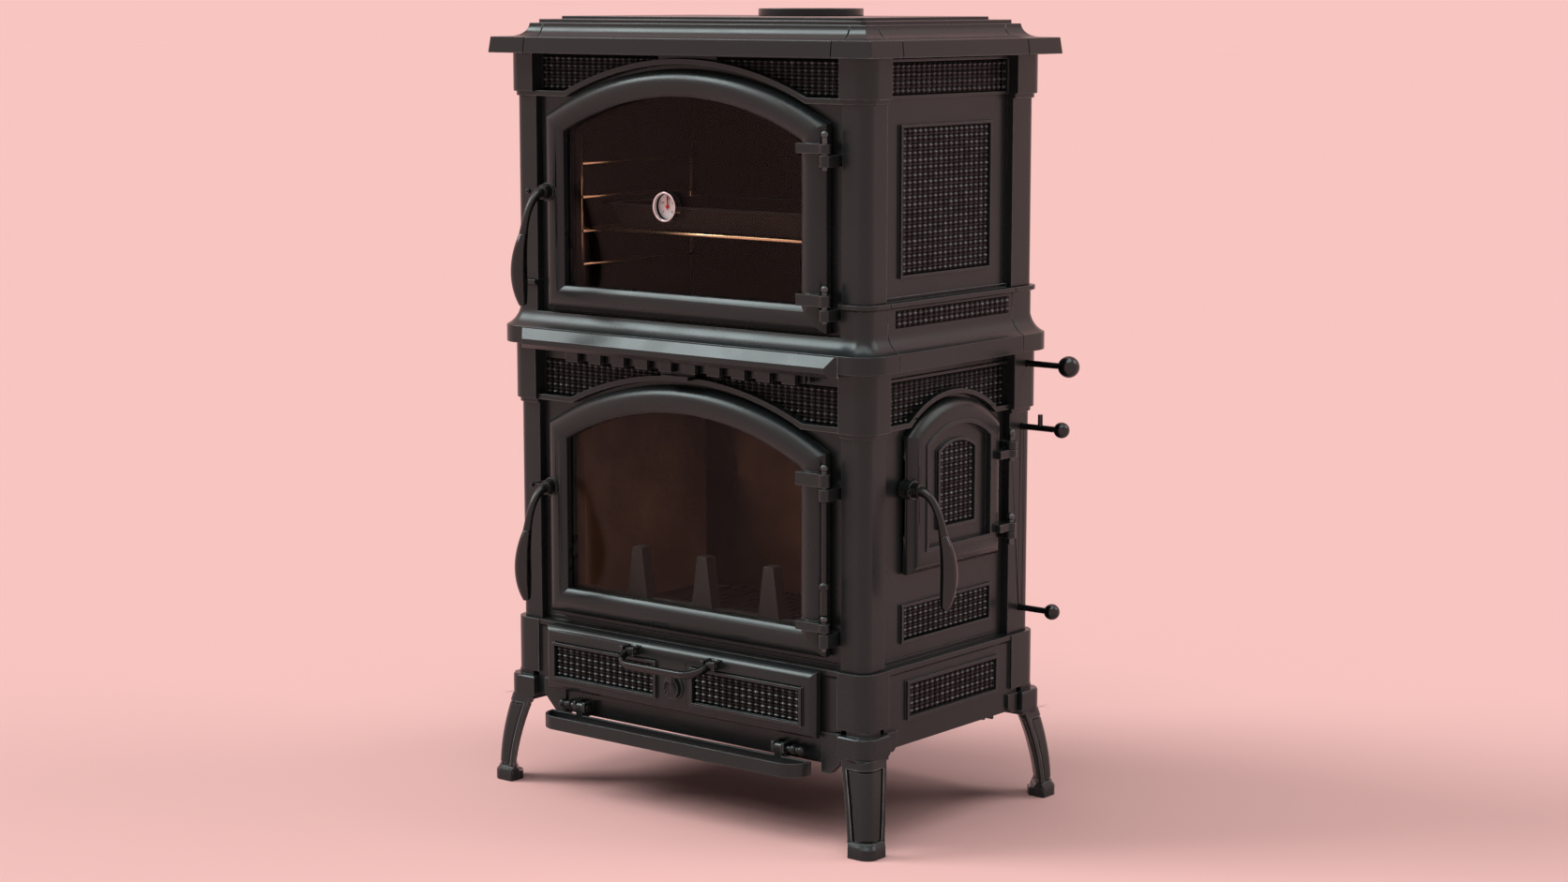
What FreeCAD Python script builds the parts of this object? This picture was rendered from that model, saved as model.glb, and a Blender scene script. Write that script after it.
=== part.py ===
import FreeCAD, Part
import math
import operator
import os
import Sketcher
from FreeCAD import Rotation, Vector

# Free-standing wood-burning stove in cast iron: a firebox below, an oven above.
# Millimetres, +Z up, floor at Z 0, the front faces -Y.
# All shapes are drawn about the centre of the body; each finished sub-part is then
# shifted by the origin_x and origin_y of the sheet, so that the part's own origin is on
# the floor under the middle of its whole outline, levers and rail included.

doc = FreeCAD.newDocument("WoodStove")
sheet = doc.addObject("Spreadsheet::Sheet", "Sizes")
sub_parts = []


# ---------------------------------------------------------------- sizes and expressions

class Size:
    """A length that carries the sheet expression it comes from."""

    def __init__(self, value, expression):
        self.value = value
        self.expression = expression

    def __add__(self, other):
        return combined(self, other, operator.add, "+")

    def __radd__(self, other):
        return combined(other, self, operator.add, "+")

    def __sub__(self, other):
        return combined(self, other, operator.sub, "-")

    def __rsub__(self, other):
        return combined(other, self, operator.sub, "-")

    def __mul__(self, other):
        return combined(self, other, operator.mul, "*")

    def __rmul__(self, other):
        return combined(other, self, operator.mul, "*")

    def __truediv__(self, other):
        return combined(self, other, operator.truediv, "/")

    def __neg__(self):
        return Size(-self.value, "(-" + self.expression + ")")


def as_size(number):
    return number if isinstance(number, Size) else Size(float(number), repr(float(number)))


def combined(left, right, action, sign):
    left, right = as_size(left), as_size(right)
    expression = "(" + left.expression + sign + right.expression + ")"
    return Size(action(left.value, right.value), expression)


def root(number):
    return Size(math.sqrt(number.value), "sqrt(" + number.expression + ")")


def size(alias, value, note):
    """Write one driving dimension into the next row of the sheet."""
    row = size.row = size.row + 1
    sheet.set(f"A{row}", alias)
    sheet.set(f"B{row}", str(value))
    sheet.setAlias(f"B{row}", alias)
    sheet.set(f"C{row}", note)
    return Size(float(value), "Sizes." + alias)


size.row = 0


def bind(obj, path, number):
    obj.setExpression(path, as_size(number).expression)


# Body
total_height = size("total_height", 1285, "floor to the rim of the flue collar")
half_width = size("half_width", 362, "centre to the outer face of a corner post, along X")
half_depth = size("half_depth", 222, "centre to the outer face of a corner post, along Y")
post_wall = size("post_wall", 12, "thickness of the corner posts")
post_face = size("post_face", 48, "width of a post seen from the front or back")
front_post_side = size("front_post_side", 50, "depth of a front post seen from the side")
rear_post_side = size("rear_post_side", 64, "depth of a rear post seen from the side")
post_corner = size("post_corner", 18, "rounding of a post's outer corner")
band_step = size("band_step", 9, "how far the bands stand out from the posts")
plate = size("plate", 8, "thickness of the cast plates")
bead = size("bead", 5, "height and width of the raised beads round the panels")

# Levels
foot_level = size("foot_level", 0, "floor")
apron_level = size("apron_level", 153, "bottom edge of the base")
collar_level = size("collar_level", 150, "bottom of the collars that hold the legs")
base_level = size("base_level", 190, "bottom of the base band on the posts")
deck_level = size("deck_level", 280, "top of the base's walls, where the lower posts stand")
lower_band_level = size("lower_band_level", 649, "bottom of the upper band of the firebox")
waist_level = size("waist_level", 742, "bottom of the waist")
skirt_level = size("skirt_level", 770, "top of the waist's straight skirt")
cove_level = size("cove_level", 800, "top of the waist's cove")
neck_level = size("neck_level", 836, "underside of the waist's top bead")
ledge_level = size("ledge_level", 846, "top of the waist")
upper_band_level = size("upper_band_level", 1152, "bottom of the band round the top")
lip_level = size("lip_level", 1214, "underside of the top plate")
bearer_top = size("bearer_top", 762, "top of the bearers under the oven")
skirt_step = size("skirt_step", 25, "how far the skirt stands out from the posts")

# Top plate
lip_step = size("lip_step", 30, "how far the top plate's lip stands out from the posts")
lip_height = size("lip_height", 26, "height of the lip")
top_ledge = size("top_ledge", 29, "flat ledge on the lip")
top_cove = size("top_cove", 19, "width of the cove above the ledge")
flue_bore = size("flue_bore", 75.5, "radius that takes a 150 mm pipe")
flue_rim = size("flue_rim", 86, "outer radius of the flue collar")
flue_offset = size("flue_offset", 100, "flue axis behind the centre")

# Doors
door_front = size("door_front", 240, "front of the two glazed doors, from the centre")
door_back = size("door_back", 214, "back of the two glazed doors, from the centre")
door_rim = size("door_rim", 43, "width of the frame round the glass")
glass_half = size("glass_half", 245, "half width of the two windows")
oven_glass_base = size("oven_glass_base", 841, "bottom of the oven window")
oven_glass_spring = size("oven_glass_spring", 1090, "where the oven window's arch starts")
oven_glass_apex = size("oven_glass_apex", 1150, "top of the oven window")
fire_glass_base = size("fire_glass_base", 341, "bottom of the fire window")
fire_glass_spring = size("fire_glass_spring", 590, "where the fire window's arch starts")
fire_glass_apex = size("fire_glass_apex", 652, "top of the fire window")
hinge_x = size("hinge_x", 300, "hinge axis of the glazed doors, right of the centre")
hinge_y = size("hinge_y", 245, "hinge axis of the glazed doors, forward of the centre")
pin_radius = size("pin_radius", 4.5, "hinge pins")
eye_radius = size("eye_radius", 9, "outside of the hinge eyes")
running_gap = size("running_gap", 0.1, "radial clearance of a pin in its eye")
side_hinge_x = size("side_hinge_x", 380, "hinge axis of the side door, right of the centre")
side_hinge_y = size("side_hinge_y", 137, "hinge axis of the side door, behind the centre")
side_door_middle = size("side_door_middle", 6, "middle of the side door along Y")
side_door_half = size("side_door_half", 121, "half width of the side door")
side_door_base = size("side_door_base", 419, "bottom of the side door")
side_door_spring = size("side_door_spring", 635, "where the side door's arch starts")
side_door_apex = size("side_door_apex", 684, "top of the side door")

# Handles
handle_x = size("handle_x", 272, "handle axis of the glazed doors, left of the centre")
oven_handle_z = size("oven_handle_z", 992, "height of the oven door's handle axis")
fire_handle_z = size("fire_handle_z", 509, "height of the fire door's handle axis")
side_handle_y = size("side_handle_y", 115, "handle axis of the side door, forward of the centre")
side_handle_z = size("side_handle_z", 554, "height of the side door's handle axis")
spindle_radius = size("spindle_radius", 5, "handle spindles")

# Ash door, rail and levers
ash_half = size("ash_half", 283, "half width of the ash door")
ash_base = size("ash_base", 172, "bottom of the ash door")
ash_top = size("ash_top", 277, "top of the ash door")
ash_front = size("ash_front", 250, "front of the ash door, from the centre")
ash_back = size("ash_back", 232, "back of the ash door, from the centre")
bail_x = size("bail_x", 85, "bail pivots from the centre")
bail_z = size("bail_z", 264, "height of the bail pivots")
bail_y = size("bail_y", 262, "bail pivots forward of the centre")
rail_half = size("rail_half", 273, "half length of the front rail")
rail_reach = size("rail_reach", 282, "front of the rail from the centre")
rail_back = size("rail_back", 242, "back of the rail's rear bar, forward of the centre")
rail_base = size("rail_base", 113, "bottom of the rail")
rail_height = size("rail_height", 22, "height of the rail's flat bar")
rail_bar = size("rail_bar", 5, "thickness of the rail's flat bar")
rail_hinge_x = size("rail_hinge_x", 210, "rail hinges from the centre")
rail_hinge_y = size("rail_hinge_y", 240, "rail hinge axis forward of the centre")
rail_hinge_z = size("rail_hinge_z", 148, "height of the rail's hinge axis")
lever_y = size("lever_y", 192, "lever rods behind the centre")
damper_ball = size("damper_ball", 451, "centre of the damper lever's ball along X")
air_ball = size("air_ball", 439, "centre of the air lever's ball along X")
grate_ball = size("grate_ball", 425, "centre of the grate lever's ball along X")
large_ball = size("large_ball", 17.5, "radius of the damper lever's ball")
small_ball = size("small_ball", 13, "radius of the two other balls")

# Legs; the steps are measured outward from the post faces
leg_inset = size("leg_inset", 30, "leg axis inward from the post faces")
collar_side = size("collar_side", 60, "side of the square collars on the legs")
collar_step = size("collar_step", 17, "how far the leg collars stand out")
collar_top = size("collar_top", 182, "top of the leg collars")
collar_round = size("collar_round", 24, "rounding of a collar's outer corner")
neck_step = size("neck_step", 6, "how far the neck above a leg collar stands out")
leg_head_step = size("leg_head_step", 16, "how far a leg stands out under its collar")
leg_foot_step = size("leg_foot_step", 33, "how far a leg stands out above its toe")
leg_head_half = size("leg_head_half", 36, "half width of a leg under its collar")
leg_foot_half = size("leg_foot_half", 28.5, "half width of a leg above its toe")
leg_head_deep = size("leg_head_deep", 38, "depth of a leg under its collar, along the diagonal")
leg_foot_deep = size("leg_foot_deep", 26, "depth of a leg above its toe, along the diagonal")
leg_nose = size("leg_nose", 18, "rounding of a leg's outer corner")
toe_out = size("toe_out", 37, "how far the toes stand out")
toe_half = size("toe_half", 30, "half width of the toes")
toe_height = size("toe_height", 16, "height of the toes")
leg_back_share = size("leg_back_share", 0.6, "width of a leg's back as a share of its front")
leg_border = size("leg_border", 7, "width of the border round a leg's panel")
leg_groove = size("leg_groove", 3, "depth and width of the groove inside that border")

# Origin: halfway between the left toes and the damper ball, and between the oven door's
# grip and the rear toes.
grip_front = size("grip_front", 323.74, "front of the door grips from the centre")
origin_x = (damper_ball + large_ball - half_width - toe_out) / 2
origin_y = (half_depth + toe_out - grip_front) / 2
doc.recompute()


# ---------------------------------------------------------------- drawing helpers

NORMAL_SIGN = {"XY": 1, "XZ": -1, "YZ": 1}
ALONG = {
    "X": Rotation(Vector(0, 1, 0), 90),
    "Y": Rotation(Vector(1, 0, 0), -90),
    "Z": Rotation(),
}


def sketch_on(body, plane, level, name):
    """Empty sketch on one of the body's own origin planes, moved to the given level."""
    sketch = body.newObject("Sketcher::SketchObject", name)
    support = [part for part in body.Origin.OriginFeatures if part.Role == plane + "_Plane"][0]
    sketch.AttachmentSupport = [(support, "")]
    sketch.MapMode = "FlatFace"
    bind(sketch, "AttachmentOffset.Base.z", NORMAL_SIGN[plane] * as_size(level))
    return sketch


def edge_between(here, there):
    """Sketch edge from one corner to the next, and which of its ends is first and last."""
    start = Vector(as_size(here[0]).value, as_size(here[1]).value, 0)
    stop = Vector(as_size(there[0]).value, as_size(there[1]).value, 0)
    if len(here) == 2:
        return Part.LineSegment(start, stop), (1, 2)
    radius = as_size(here[2]).value
    chord = stop - start
    inward = Vector(-chord.y, chord.x, 0).normalize()
    reach = math.sqrt(max(radius * radius - chord.Length ** 2 / 4, 0))
    centre = (start + stop) * 0.5 + inward * math.copysign(reach, radius)
    tips = (start, stop) if radius > 0 else (stop, start)
    angles = [math.atan2(tip.y - centre.y, tip.x - centre.x) for tip in tips]
    if angles[1] < angles[0]:
        angles[1] += 2 * math.pi
    circle = Part.Circle(centre, Vector(0, 0, 1), abs(radius))
    return Part.ArcOfCircle(circle, *angles), (1, 2) if radius > 0 else (2, 1)


def draw(sketch, corners, closed=True):
    """Draw corners given counter-clockwise as (u, v), or (u, v, radius) where an arc leads
    to the next corner: a positive radius bulges outward and a negative one inward."""
    first = len(sketch.Geometry)
    following = corners[1:] + corners[:1] if closed else corners[1:]
    edges = [edge_between(here, there) for here, there in zip(corners, following)]
    sketch.addGeometry([edge for edge, ends in edges], False)
    constraints = []
    drives = []

    def add(constraint, number=None):
        constraints.append(constraint)
        drives.append(number)

    for i, (edge, ends) in enumerate(edges):
        follower = (i + 1) % len(edges)
        if closed or follower:
            tip = edges[follower][1][0]
            add(Sketcher.Constraint("Coincident", first + i, ends[1], first + follower, tip))
    for i, corner in enumerate(corners):
        on_edge = min(i, len(edges) - 1)
        end = edges[on_edge][1][0 if on_edge == i else 1]
        for kind, number in zip(("DistanceX", "DistanceY"), corner):
            value = as_size(number)
            add(Sketcher.Constraint(kind, -1, 1, first + on_edge, end, value.value), value)
        if len(corner) == 3:
            radius = as_size(corner[2])
            radius = radius if radius.value > 0 else -radius
            add(Sketcher.Constraint("Radius", first + i, radius.value), radius)
    offset = len(sketch.Constraints)
    sketch.addConstraint(constraints)
    for i, number in enumerate(drives):
        if number is not None:
            bind(sketch, f"Constraints[{offset + i}]", number)


def draw_circle(sketch, u, v, radius):
    u, v, radius = as_size(u), as_size(v), as_size(radius)
    circle = Part.Circle(Vector(u.value, v.value, 0), Vector(0, 0, 1), radius.value)
    index = sketch.addGeometry(circle, False)
    for kind, number in (("DistanceX", u), ("DistanceY", v)):
        constraint = sketch.addConstraint(Sketcher.Constraint(kind, -1, 1, index, 3, number.value))
        bind(sketch, f"Constraints[{constraint}]", number)
    constraint = sketch.addConstraint(Sketcher.Constraint("Radius", index, radius.value))
    bind(sketch, f"Constraints[{constraint}]", radius)


def prism(name, plane, low, high, *outlines):
    """Body padded between two levels from one or more closed outlines."""
    body = doc.addObject("PartDesign::Body", name)
    level = high if plane == "XZ" else low
    sketch = sketch_on(body, plane, level, name + "_outline")
    for outline in outlines:
        draw(sketch, outline)
    pad = body.newObject("PartDesign::Pad", name + "_pad")
    pad.Profile = sketch
    bind(pad, "Length", as_size(high) - low)
    return body


def swept(name, path_plane, path, section_plane, section_level, section, closed=True):
    """Body swept along a path; the section is an outline, or a circle as (u, v, radius)."""
    body = doc.addObject("PartDesign::Body", name)
    spine = sketch_on(body, path_plane, 0, name + "_path")
    draw(spine, path, closed)
    profile = sketch_on(body, section_plane, section_level, name + "_section")
    if isinstance(section, tuple):
        draw_circle(profile, *section)
    else:
        draw(profile, section)
    pipe = body.newObject("PartDesign::AdditivePipe", name + "_pipe")
    pipe.Profile = profile
    pipe.Spine = (spine, [""])
    pipe.Transition = "Right corner"
    return body


def lofted(name, sections):
    """Body lofted through outlines drawn at rising levels."""
    body = doc.addObject("PartDesign::Body", name)
    sketches = []
    for i, (level, outline) in enumerate(sections):
        sketch = sketch_on(body, "XY", level, f"{name}_section_{i}")
        draw(sketch, outline)
        sketches.append(sketch)
    loft = body.newObject("PartDesign::AdditiveLoft", name + "_loft")
    loft.Profile = sketches[0]
    loft.Sections = sketches[1:]
    return body


def place(obj, x, y, z):
    for axis, number in (("x", x), ("y", y), ("z", z)):
        bind(obj, "Placement.Base." + axis, number)


def box(name, x, y, z):
    """Box between (low, high) pairs along X, Y and Z."""
    piece = doc.addObject("Part::Box", name)
    for prop, span in (("Length", x), ("Width", y), ("Height", z)):
        bind(piece, prop, as_size(span[1]) - span[0])
    place(piece, x[0], y[0], z[0])
    return piece


def cylinder(name, axis, radius, start, length):
    piece = doc.addObject("Part::Cylinder", name)
    piece.Placement = FreeCAD.Placement(Vector(), ALONG[axis])
    bind(piece, "Radius", radius)
    bind(piece, "Height", length)
    place(piece, *start)
    return piece


def sphere(name, radius, centre):
    piece = doc.addObject("Part::Sphere", name)
    bind(piece, "Radius", radius)
    place(piece, *centre)
    return piece


def fused(name, pieces):
    joined = doc.addObject("Part::MultiFuse", name)
    joined.Shapes = pieces
    return joined


def fused_in_turn(name, pieces):
    """Join pieces one after another, for faces that meet in many places."""
    joined = pieces[0]
    for n, piece in enumerate(pieces[1:]):
        step = doc.addObject("Part::Fuse", f"{name}_{n}")
        step.Base = joined
        step.Tool = piece
        joined = step
    return joined


def group(name, pieces):
    """Separate solids kept together in one sub-part."""
    compound = doc.addObject("Part::Compound", name)
    compound.Links = pieces
    return compound


def cut(name, base, tools):
    result = doc.addObject("Part::Cut", name)
    result.Base = base
    result.Tool = tools[0] if len(tools) == 1 else fused(name + "_tools", tools)
    return result


def common(name, one, other):
    result = doc.addObject("Part::Common", name)
    result.Base = one
    result.Tool = other
    return result


def finish(piece, label, x=0, y=0, z=0, turn=0):
    """Name a finished sub-part, turn it about Z and put it in the part's own frame."""
    piece.Label = label
    piece.Placement = FreeCAD.Placement(Vector(), Rotation(Vector(0, 0, 1), turn))
    place(piece, x - origin_x, y - origin_y, z)
    sub_parts.append(piece)


def mirrored(corners, flip_u, flip_v):
    """The same outline with its coordinates multiplied by 1 or -1, still counter-clockwise."""
    flipped = [(flip_u * corner[0], flip_v * corner[1]) for corner in corners]
    radii = [corner[2:] for corner in corners]
    if flip_u * flip_v < 0:
        flipped = flipped[::-1]
        radii = radii[-2::-1] + radii[-1:]
    return [point + radius for point, radius in zip(flipped, radii)]


def rounded(half_x, half_y, radius):
    return [
        (half_x, radius - half_y),
        (half_x, half_y - radius, radius),
        (half_x - radius, half_y),
        (radius - half_x, half_y, radius),
        (-half_x, half_y - radius),
        (-half_x, radius - half_y, radius),
        (radius - half_x, -half_y),
        (half_x - radius, -half_y, radius),
    ]


def rectangle(low_u, high_u, low_v, high_v):
    return [(low_u, low_v), (high_u, low_v), (high_u, high_v), (low_u, high_v)]


class Arch:
    """An upright opening with a low arched head, which can be offset outward."""

    def __init__(self, middle, half, base, spring, apex):
        self.middle, self.half, self.base, self.apex = as_size(middle), half, base, apex
        rise = apex - spring
        self.radius = (half * half + rise * rise) / (2 * rise)
        self.centre = apex - self.radius

    def outline(self, grow=0):
        radius = self.radius + grow
        half = self.half + grow
        spring = self.centre + root(radius * radius - half * half)
        low = self.base - grow
        left, right = self.middle - half, self.middle + half
        return [(left, low), (right, low), (right, spring, radius), (left, spring)]

    def reach(self, grow, level):
        """Half width of the offset head at a level."""
        radius = self.radius + grow
        drop = level - self.centre
        return root(radius * radius - drop * drop)

    def moulding(self, inner, outer, level, left_end, right_end):
        """Strip that follows the head between two offsets and runs level to both ends."""
        low_reach, high_reach = self.reach(inner, level), self.reach(outer, level + outer - inner)
        high = level + outer - inner
        mid, inner_radius, outer_radius = self.middle, self.radius + inner, self.radius + outer
        return [
            (mid - left_end, level),
            (mid - low_reach, level, -inner_radius),
            (mid + low_reach, level),
            (mid + right_end, level),
            (mid + right_end, high),
            (mid + high_reach, high, outer_radius),
            (mid - high_reach, high),
            (mid - left_end, high),
        ]


oven_arch = Arch(0, glass_half, oven_glass_base, oven_glass_spring, oven_glass_apex)
fire_arch = Arch(0, glass_half, fire_glass_base, fire_glass_spring, fire_glass_apex)
side_arch = Arch(side_door_middle, side_door_half, side_door_base, side_door_spring, side_door_apex)

panel_x = half_width - post_wall
panel_y = half_depth - post_wall


def sides():
    return (("left", -1), ("right", 1))


def corners():
    return (
        ("front_left", -1, -1), ("front_right", 1, -1),
        ("rear_left", -1, 1), ("rear_right", 1, 1),
    )


# ---------------------------------------------------------------- base, legs and posts

guide_height = size("guide_height", 15, "height of the ash pan's runners")
floor_level = size("floor_level", 165, "underside of the base's bottom plate")
deck_top = deck_level + plate
hearth_under = size("hearth_under", 274, "underside of the hearth plate")
grate_opening_x = size("grate_opening_x", 135, "half width of the hearth opening")
grate_opening_y = size("grate_opening_y", 95, "half depth of the hearth opening")
tie_x = size("tie_x", 335, "tie rods from the centre along X")
tie_y = size("tie_y", 178, "tie rods from the centre along Y")
tie_radius = size("tie_radius", 5, "tie rods")
leg_bolt_inset = size("leg_bolt_inset", 54, "leg bolts inward from the post faces")
leg_bolt_radius = size("leg_bolt_radius", 4, "leg bolts")
wall_step = size("wall_step", 4, "how far the base's walls stand out from the posts")
apron_drop = size("apron_drop", 131, "bottom edge of the front apron")
apron_half = size("apron_half", 283, "half width of the front apron between its end blocks")
apron_foot = size("apron_foot", 117, "bottom of the apron's right end block")
floor_thick = size("floor_thick", 6, "thickness of the base's bottom plate")
runner_x = size("runner_x", 235, "ash pan's runners from the centre")
rail_ear = size("rail_ear", 5, "thickness of the rail's ears")
panel_front = size("panel_front", 172, "front end of the side panels' mouldings, forward of the centre")
panel_rear = size("panel_rear", 158, "rear end of the side panels' mouldings, behind the centre")
doc.recompute()


def in_order(one, other):
    """Two levels as a (low, high) pair."""
    return sorted((one, other), key=lambda level: level.value)


def corner_outline(step, face, side):
    """L-shaped plan of a corner post at the front right, stepped out by step."""
    x, y = half_width + step, half_depth + step
    radius = post_corner + step
    return [
        (half_width - face, -y),
        (x - radius, -y, radius),
        (x, radius - y),
        (x, side - half_depth),
        (panel_x, side - half_depth),
        (panel_x, -panel_y),
        (half_width - face, -panel_y),
    ]


def corner_solid(name, flip_x, flip_y, step, low, high):
    side = front_post_side if flip_y < 0 else rear_post_side
    outline = mirrored(corner_outline(step, post_face, side), flip_x, -flip_y)
    return prism(name, "XY", low, high, outline)


def leg_bolt_place(flip_x, flip_y):
    return flip_x * (half_width - leg_bolt_inset), flip_y * (half_depth - leg_bolt_inset)


def rail_ears():
    """Pairs of ears that carry the front rail, each pair with a stop for the rail below it."""
    pieces = []
    ear_round, spread, stop_half, stop_gap = 8, 10, 8, 0.5
    for name, flip in sides():
        middle = flip * rail_hinge_x
        for n, x in enumerate((middle - spread, middle + spread)):
            pieces.append(box(f"rail_ear_{name}_{n}", (x - rail_ear / 2, x + rail_ear / 2),
                              (-rail_hinge_y - ear_round, -half_depth),
                              (rail_hinge_z + 1 - ear_round, rail_hinge_z + 1 + ear_round)))
        pieces.append(box(f"rail_stop_{name}", (middle - stop_half, middle + stop_half),
                          (stop_gap - rail_back, -half_depth), (apron_drop, rail_hinge_z - 1 - ear_round)))
    return pieces


def apron_pieces():
    """Front apron under the ash door, its end blocks and the side blocks beside the legs."""
    front = -half_depth - wall_step
    back = plate - half_depth
    block_front, block_top = front - 4, 182
    apron = prism("apron", "XZ", front, back,
                  rectangle(-apron_half, apron_half, apron_drop, apron_level + 5))
    left_out, left_in, left_foot, left_slope = -303, -255, apron_foot + 3, 35
    left_end = prism("apron_left_end", "XZ", block_front, back, [
        (left_out, left_foot + left_slope), (left_out + left_slope, left_foot), (left_in, left_foot),
        (left_in, block_top), (left_out, block_top),
    ])
    right_out, right_slope = 318, 19
    right_end = prism("apron_right_end", "XZ", block_front, back, [
        (apron_half, apron_foot), (right_out - right_slope, apron_foot), (right_out, apron_foot + right_slope),
        (right_out, block_top), (apron_half, block_top),
    ])
    near, far, snip = -176, -150, 10
    block = [(near, collar_level), (far - snip, collar_level), (far, collar_level + snip),
             (far, block_top), (near, block_top)]
    side_blocks = [
        prism(f"side_block_{name}", "YZ", *in_order(flip_x * panel_x, flip_x * (half_width + band_step)),
              mirrored(block, -flip_y, 1))
        for name, flip_x, flip_y in corners()
    ]
    return [apron, left_end, right_end] + side_blocks


def make_base_frame():
    wall_out = half_width + wall_step
    brim, brim_height = wall_out + 3, 8
    path = rounded(panel_x, panel_y, post_corner - post_wall)
    wall = swept("base_wall", "XY", path, "XZ", 0, [
        (panel_x, apron_level),
        (wall_out, apron_level),
        (wall_out, deck_level - 12),
        (brim, deck_level - brim_height),
        (brim, deck_level),
        (panel_x, deck_level),
    ])
    floor_top = floor_level + floor_thick
    floor = box("base_floor", (-panel_x, panel_x), (-panel_y, panel_y), (floor_level, floor_top))
    deck = prism("hearth", "XY", hearth_under, deck_top, rectangle(-panel_x, panel_x, -panel_y, panel_y),
                 rectangle(-grate_opening_x, grate_opening_x, -grate_opening_y, grate_opening_y))
    runner_half, runner_short = 10, 30
    runners = [
        box(f"runner_{name}", (flip * runner_x - runner_half, flip * runner_x + runner_half),
            (-panel_y, panel_y - runner_short), (floor_top, floor_top + guide_height))
        for name, flip in sides()
    ]
    blocks = [corner_solid(f"base_corner_{name}", fx, fy, band_step, base_level, deck_level)
              for name, fx, fy in corners()]
    field, rim = (-124, 121, 192, 255), 6
    frames = [
        prism(f"base_bead_{name}", "YZ", flip * wall_out - bead, flip * wall_out + bead,
              rectangle(*field), rectangle(field[0] + rim, field[1] - rim, field[2] + rim, field[3] - rim))
        for name, flip in sides()
    ]
    whole = fused_in_turn("base_whole", [wall, floor, deck] + runners + blocks + frames
                          + apron_pieces() + rail_ears())
    slack, notch_deep, bolt_start, bolt_reach = 5, 12, 20, 40
    notches = []
    for name, fx, fy in corners():
        reaches = (fx * (half_width + collar_step), fy * (half_depth + collar_step))
        spans = [in_order(reach + flip * slack, reach - flip * collar_side)
                 for flip, reach in zip((fx, fy), reaches)]
        notches.append(box(f"leg_notch_{name}", *spans, (collar_level - notch_deep, base_level)))
        notches.append(cylinder(f"tie_hole_{name}", "Z", tie_radius, (fx * tie_x, fy * tie_y, base_level),
                                deck_top - base_level + slack))
        notches.append(cylinder(f"bolt_hole_{name}", "Z", leg_bolt_radius,
                                (*leg_bolt_place(fx, fy), floor_level - bolt_start), bolt_reach))
    mouth_half, mouth_low, mouth_high, mouth_deep = 268, 184, 272, 20
    mouth = box("ash_mouth", (-mouth_half, mouth_half), (-half_depth - mouth_deep, mouth_deep - half_depth),
                (mouth_low, mouth_high))
    hinge_bore = cylinder("rail_bore", "X", pin_radius + running_gap,
                          (-rail_half, -rail_hinge_y, rail_hinge_z), 2 * rail_half)
    finish(cut("base", whole, notches + [mouth, hinge_bore]), "base_frame")


leg_top = collar_level - 2
shank_base = toe_height - 4


def leg_plan(step, half, back, nose, sunk=0, trim=0):
    """Plan of a leg, +X outward: two faces that meet in a rounded nose, and a narrower back."""
    corner = (leg_inset + step - sunk) * math.sqrt(2)
    width = half - trim
    snip = (nose - sunk) / math.sqrt(2)
    return [
        (corner - width, -width),
        (corner - snip, -snip, nose - sunk),
        (corner - snip, snip),
        (corner - width, width),
        (back, width * leg_back_share),
        (back, width * -leg_back_share),
    ]


def leg_loft(name, sunk, trim):
    """The leg's curved shank, or a copy of it that lies sunk below its faces."""
    stations = []
    for down in (1, 0.75, 0.5, 0.25, 0):
        bow = 1 - (1 - down) * (1 - down)
        step = leg_head_step + (leg_foot_step - leg_head_step) * bow
        half = leg_head_half + (leg_foot_half - leg_head_half) * down
        deep = leg_head_deep + (leg_foot_deep - leg_head_deep) * down
        outer = (leg_inset + step) * math.sqrt(2) - leg_nose * (math.sqrt(2) - 1)
        stations.append((leg_top - (leg_top - shank_base) * down,
                         leg_plan(step, half, outer - deep + sunk, leg_nose, sunk, trim)))
    return lofted(name, stations)


def leg_window(name, margin, low, high):
    """Block that reaches across the leg's faces between its borders."""
    slope = (leg_head_half - leg_foot_half) / (leg_top - shank_base)
    past_nose = 120
    return lofted(name, [
        (level, rectangle(0, past_nose, margin - half, half - margin))
        for level in (low, high) for half in (leg_foot_half + slope * (level - shank_base),)
    ])


def collar_plan(step, side, nose):
    corner = (leg_inset + step) * math.sqrt(2)
    half = side / math.sqrt(2)
    snip = nose / math.sqrt(2)
    return [
        (corner - 2 * half, 0),
        (corner - half, -half),
        (corner - snip, -snip, nose),
        (corner - snip, snip),
        (corner - half, half),
    ]


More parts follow.
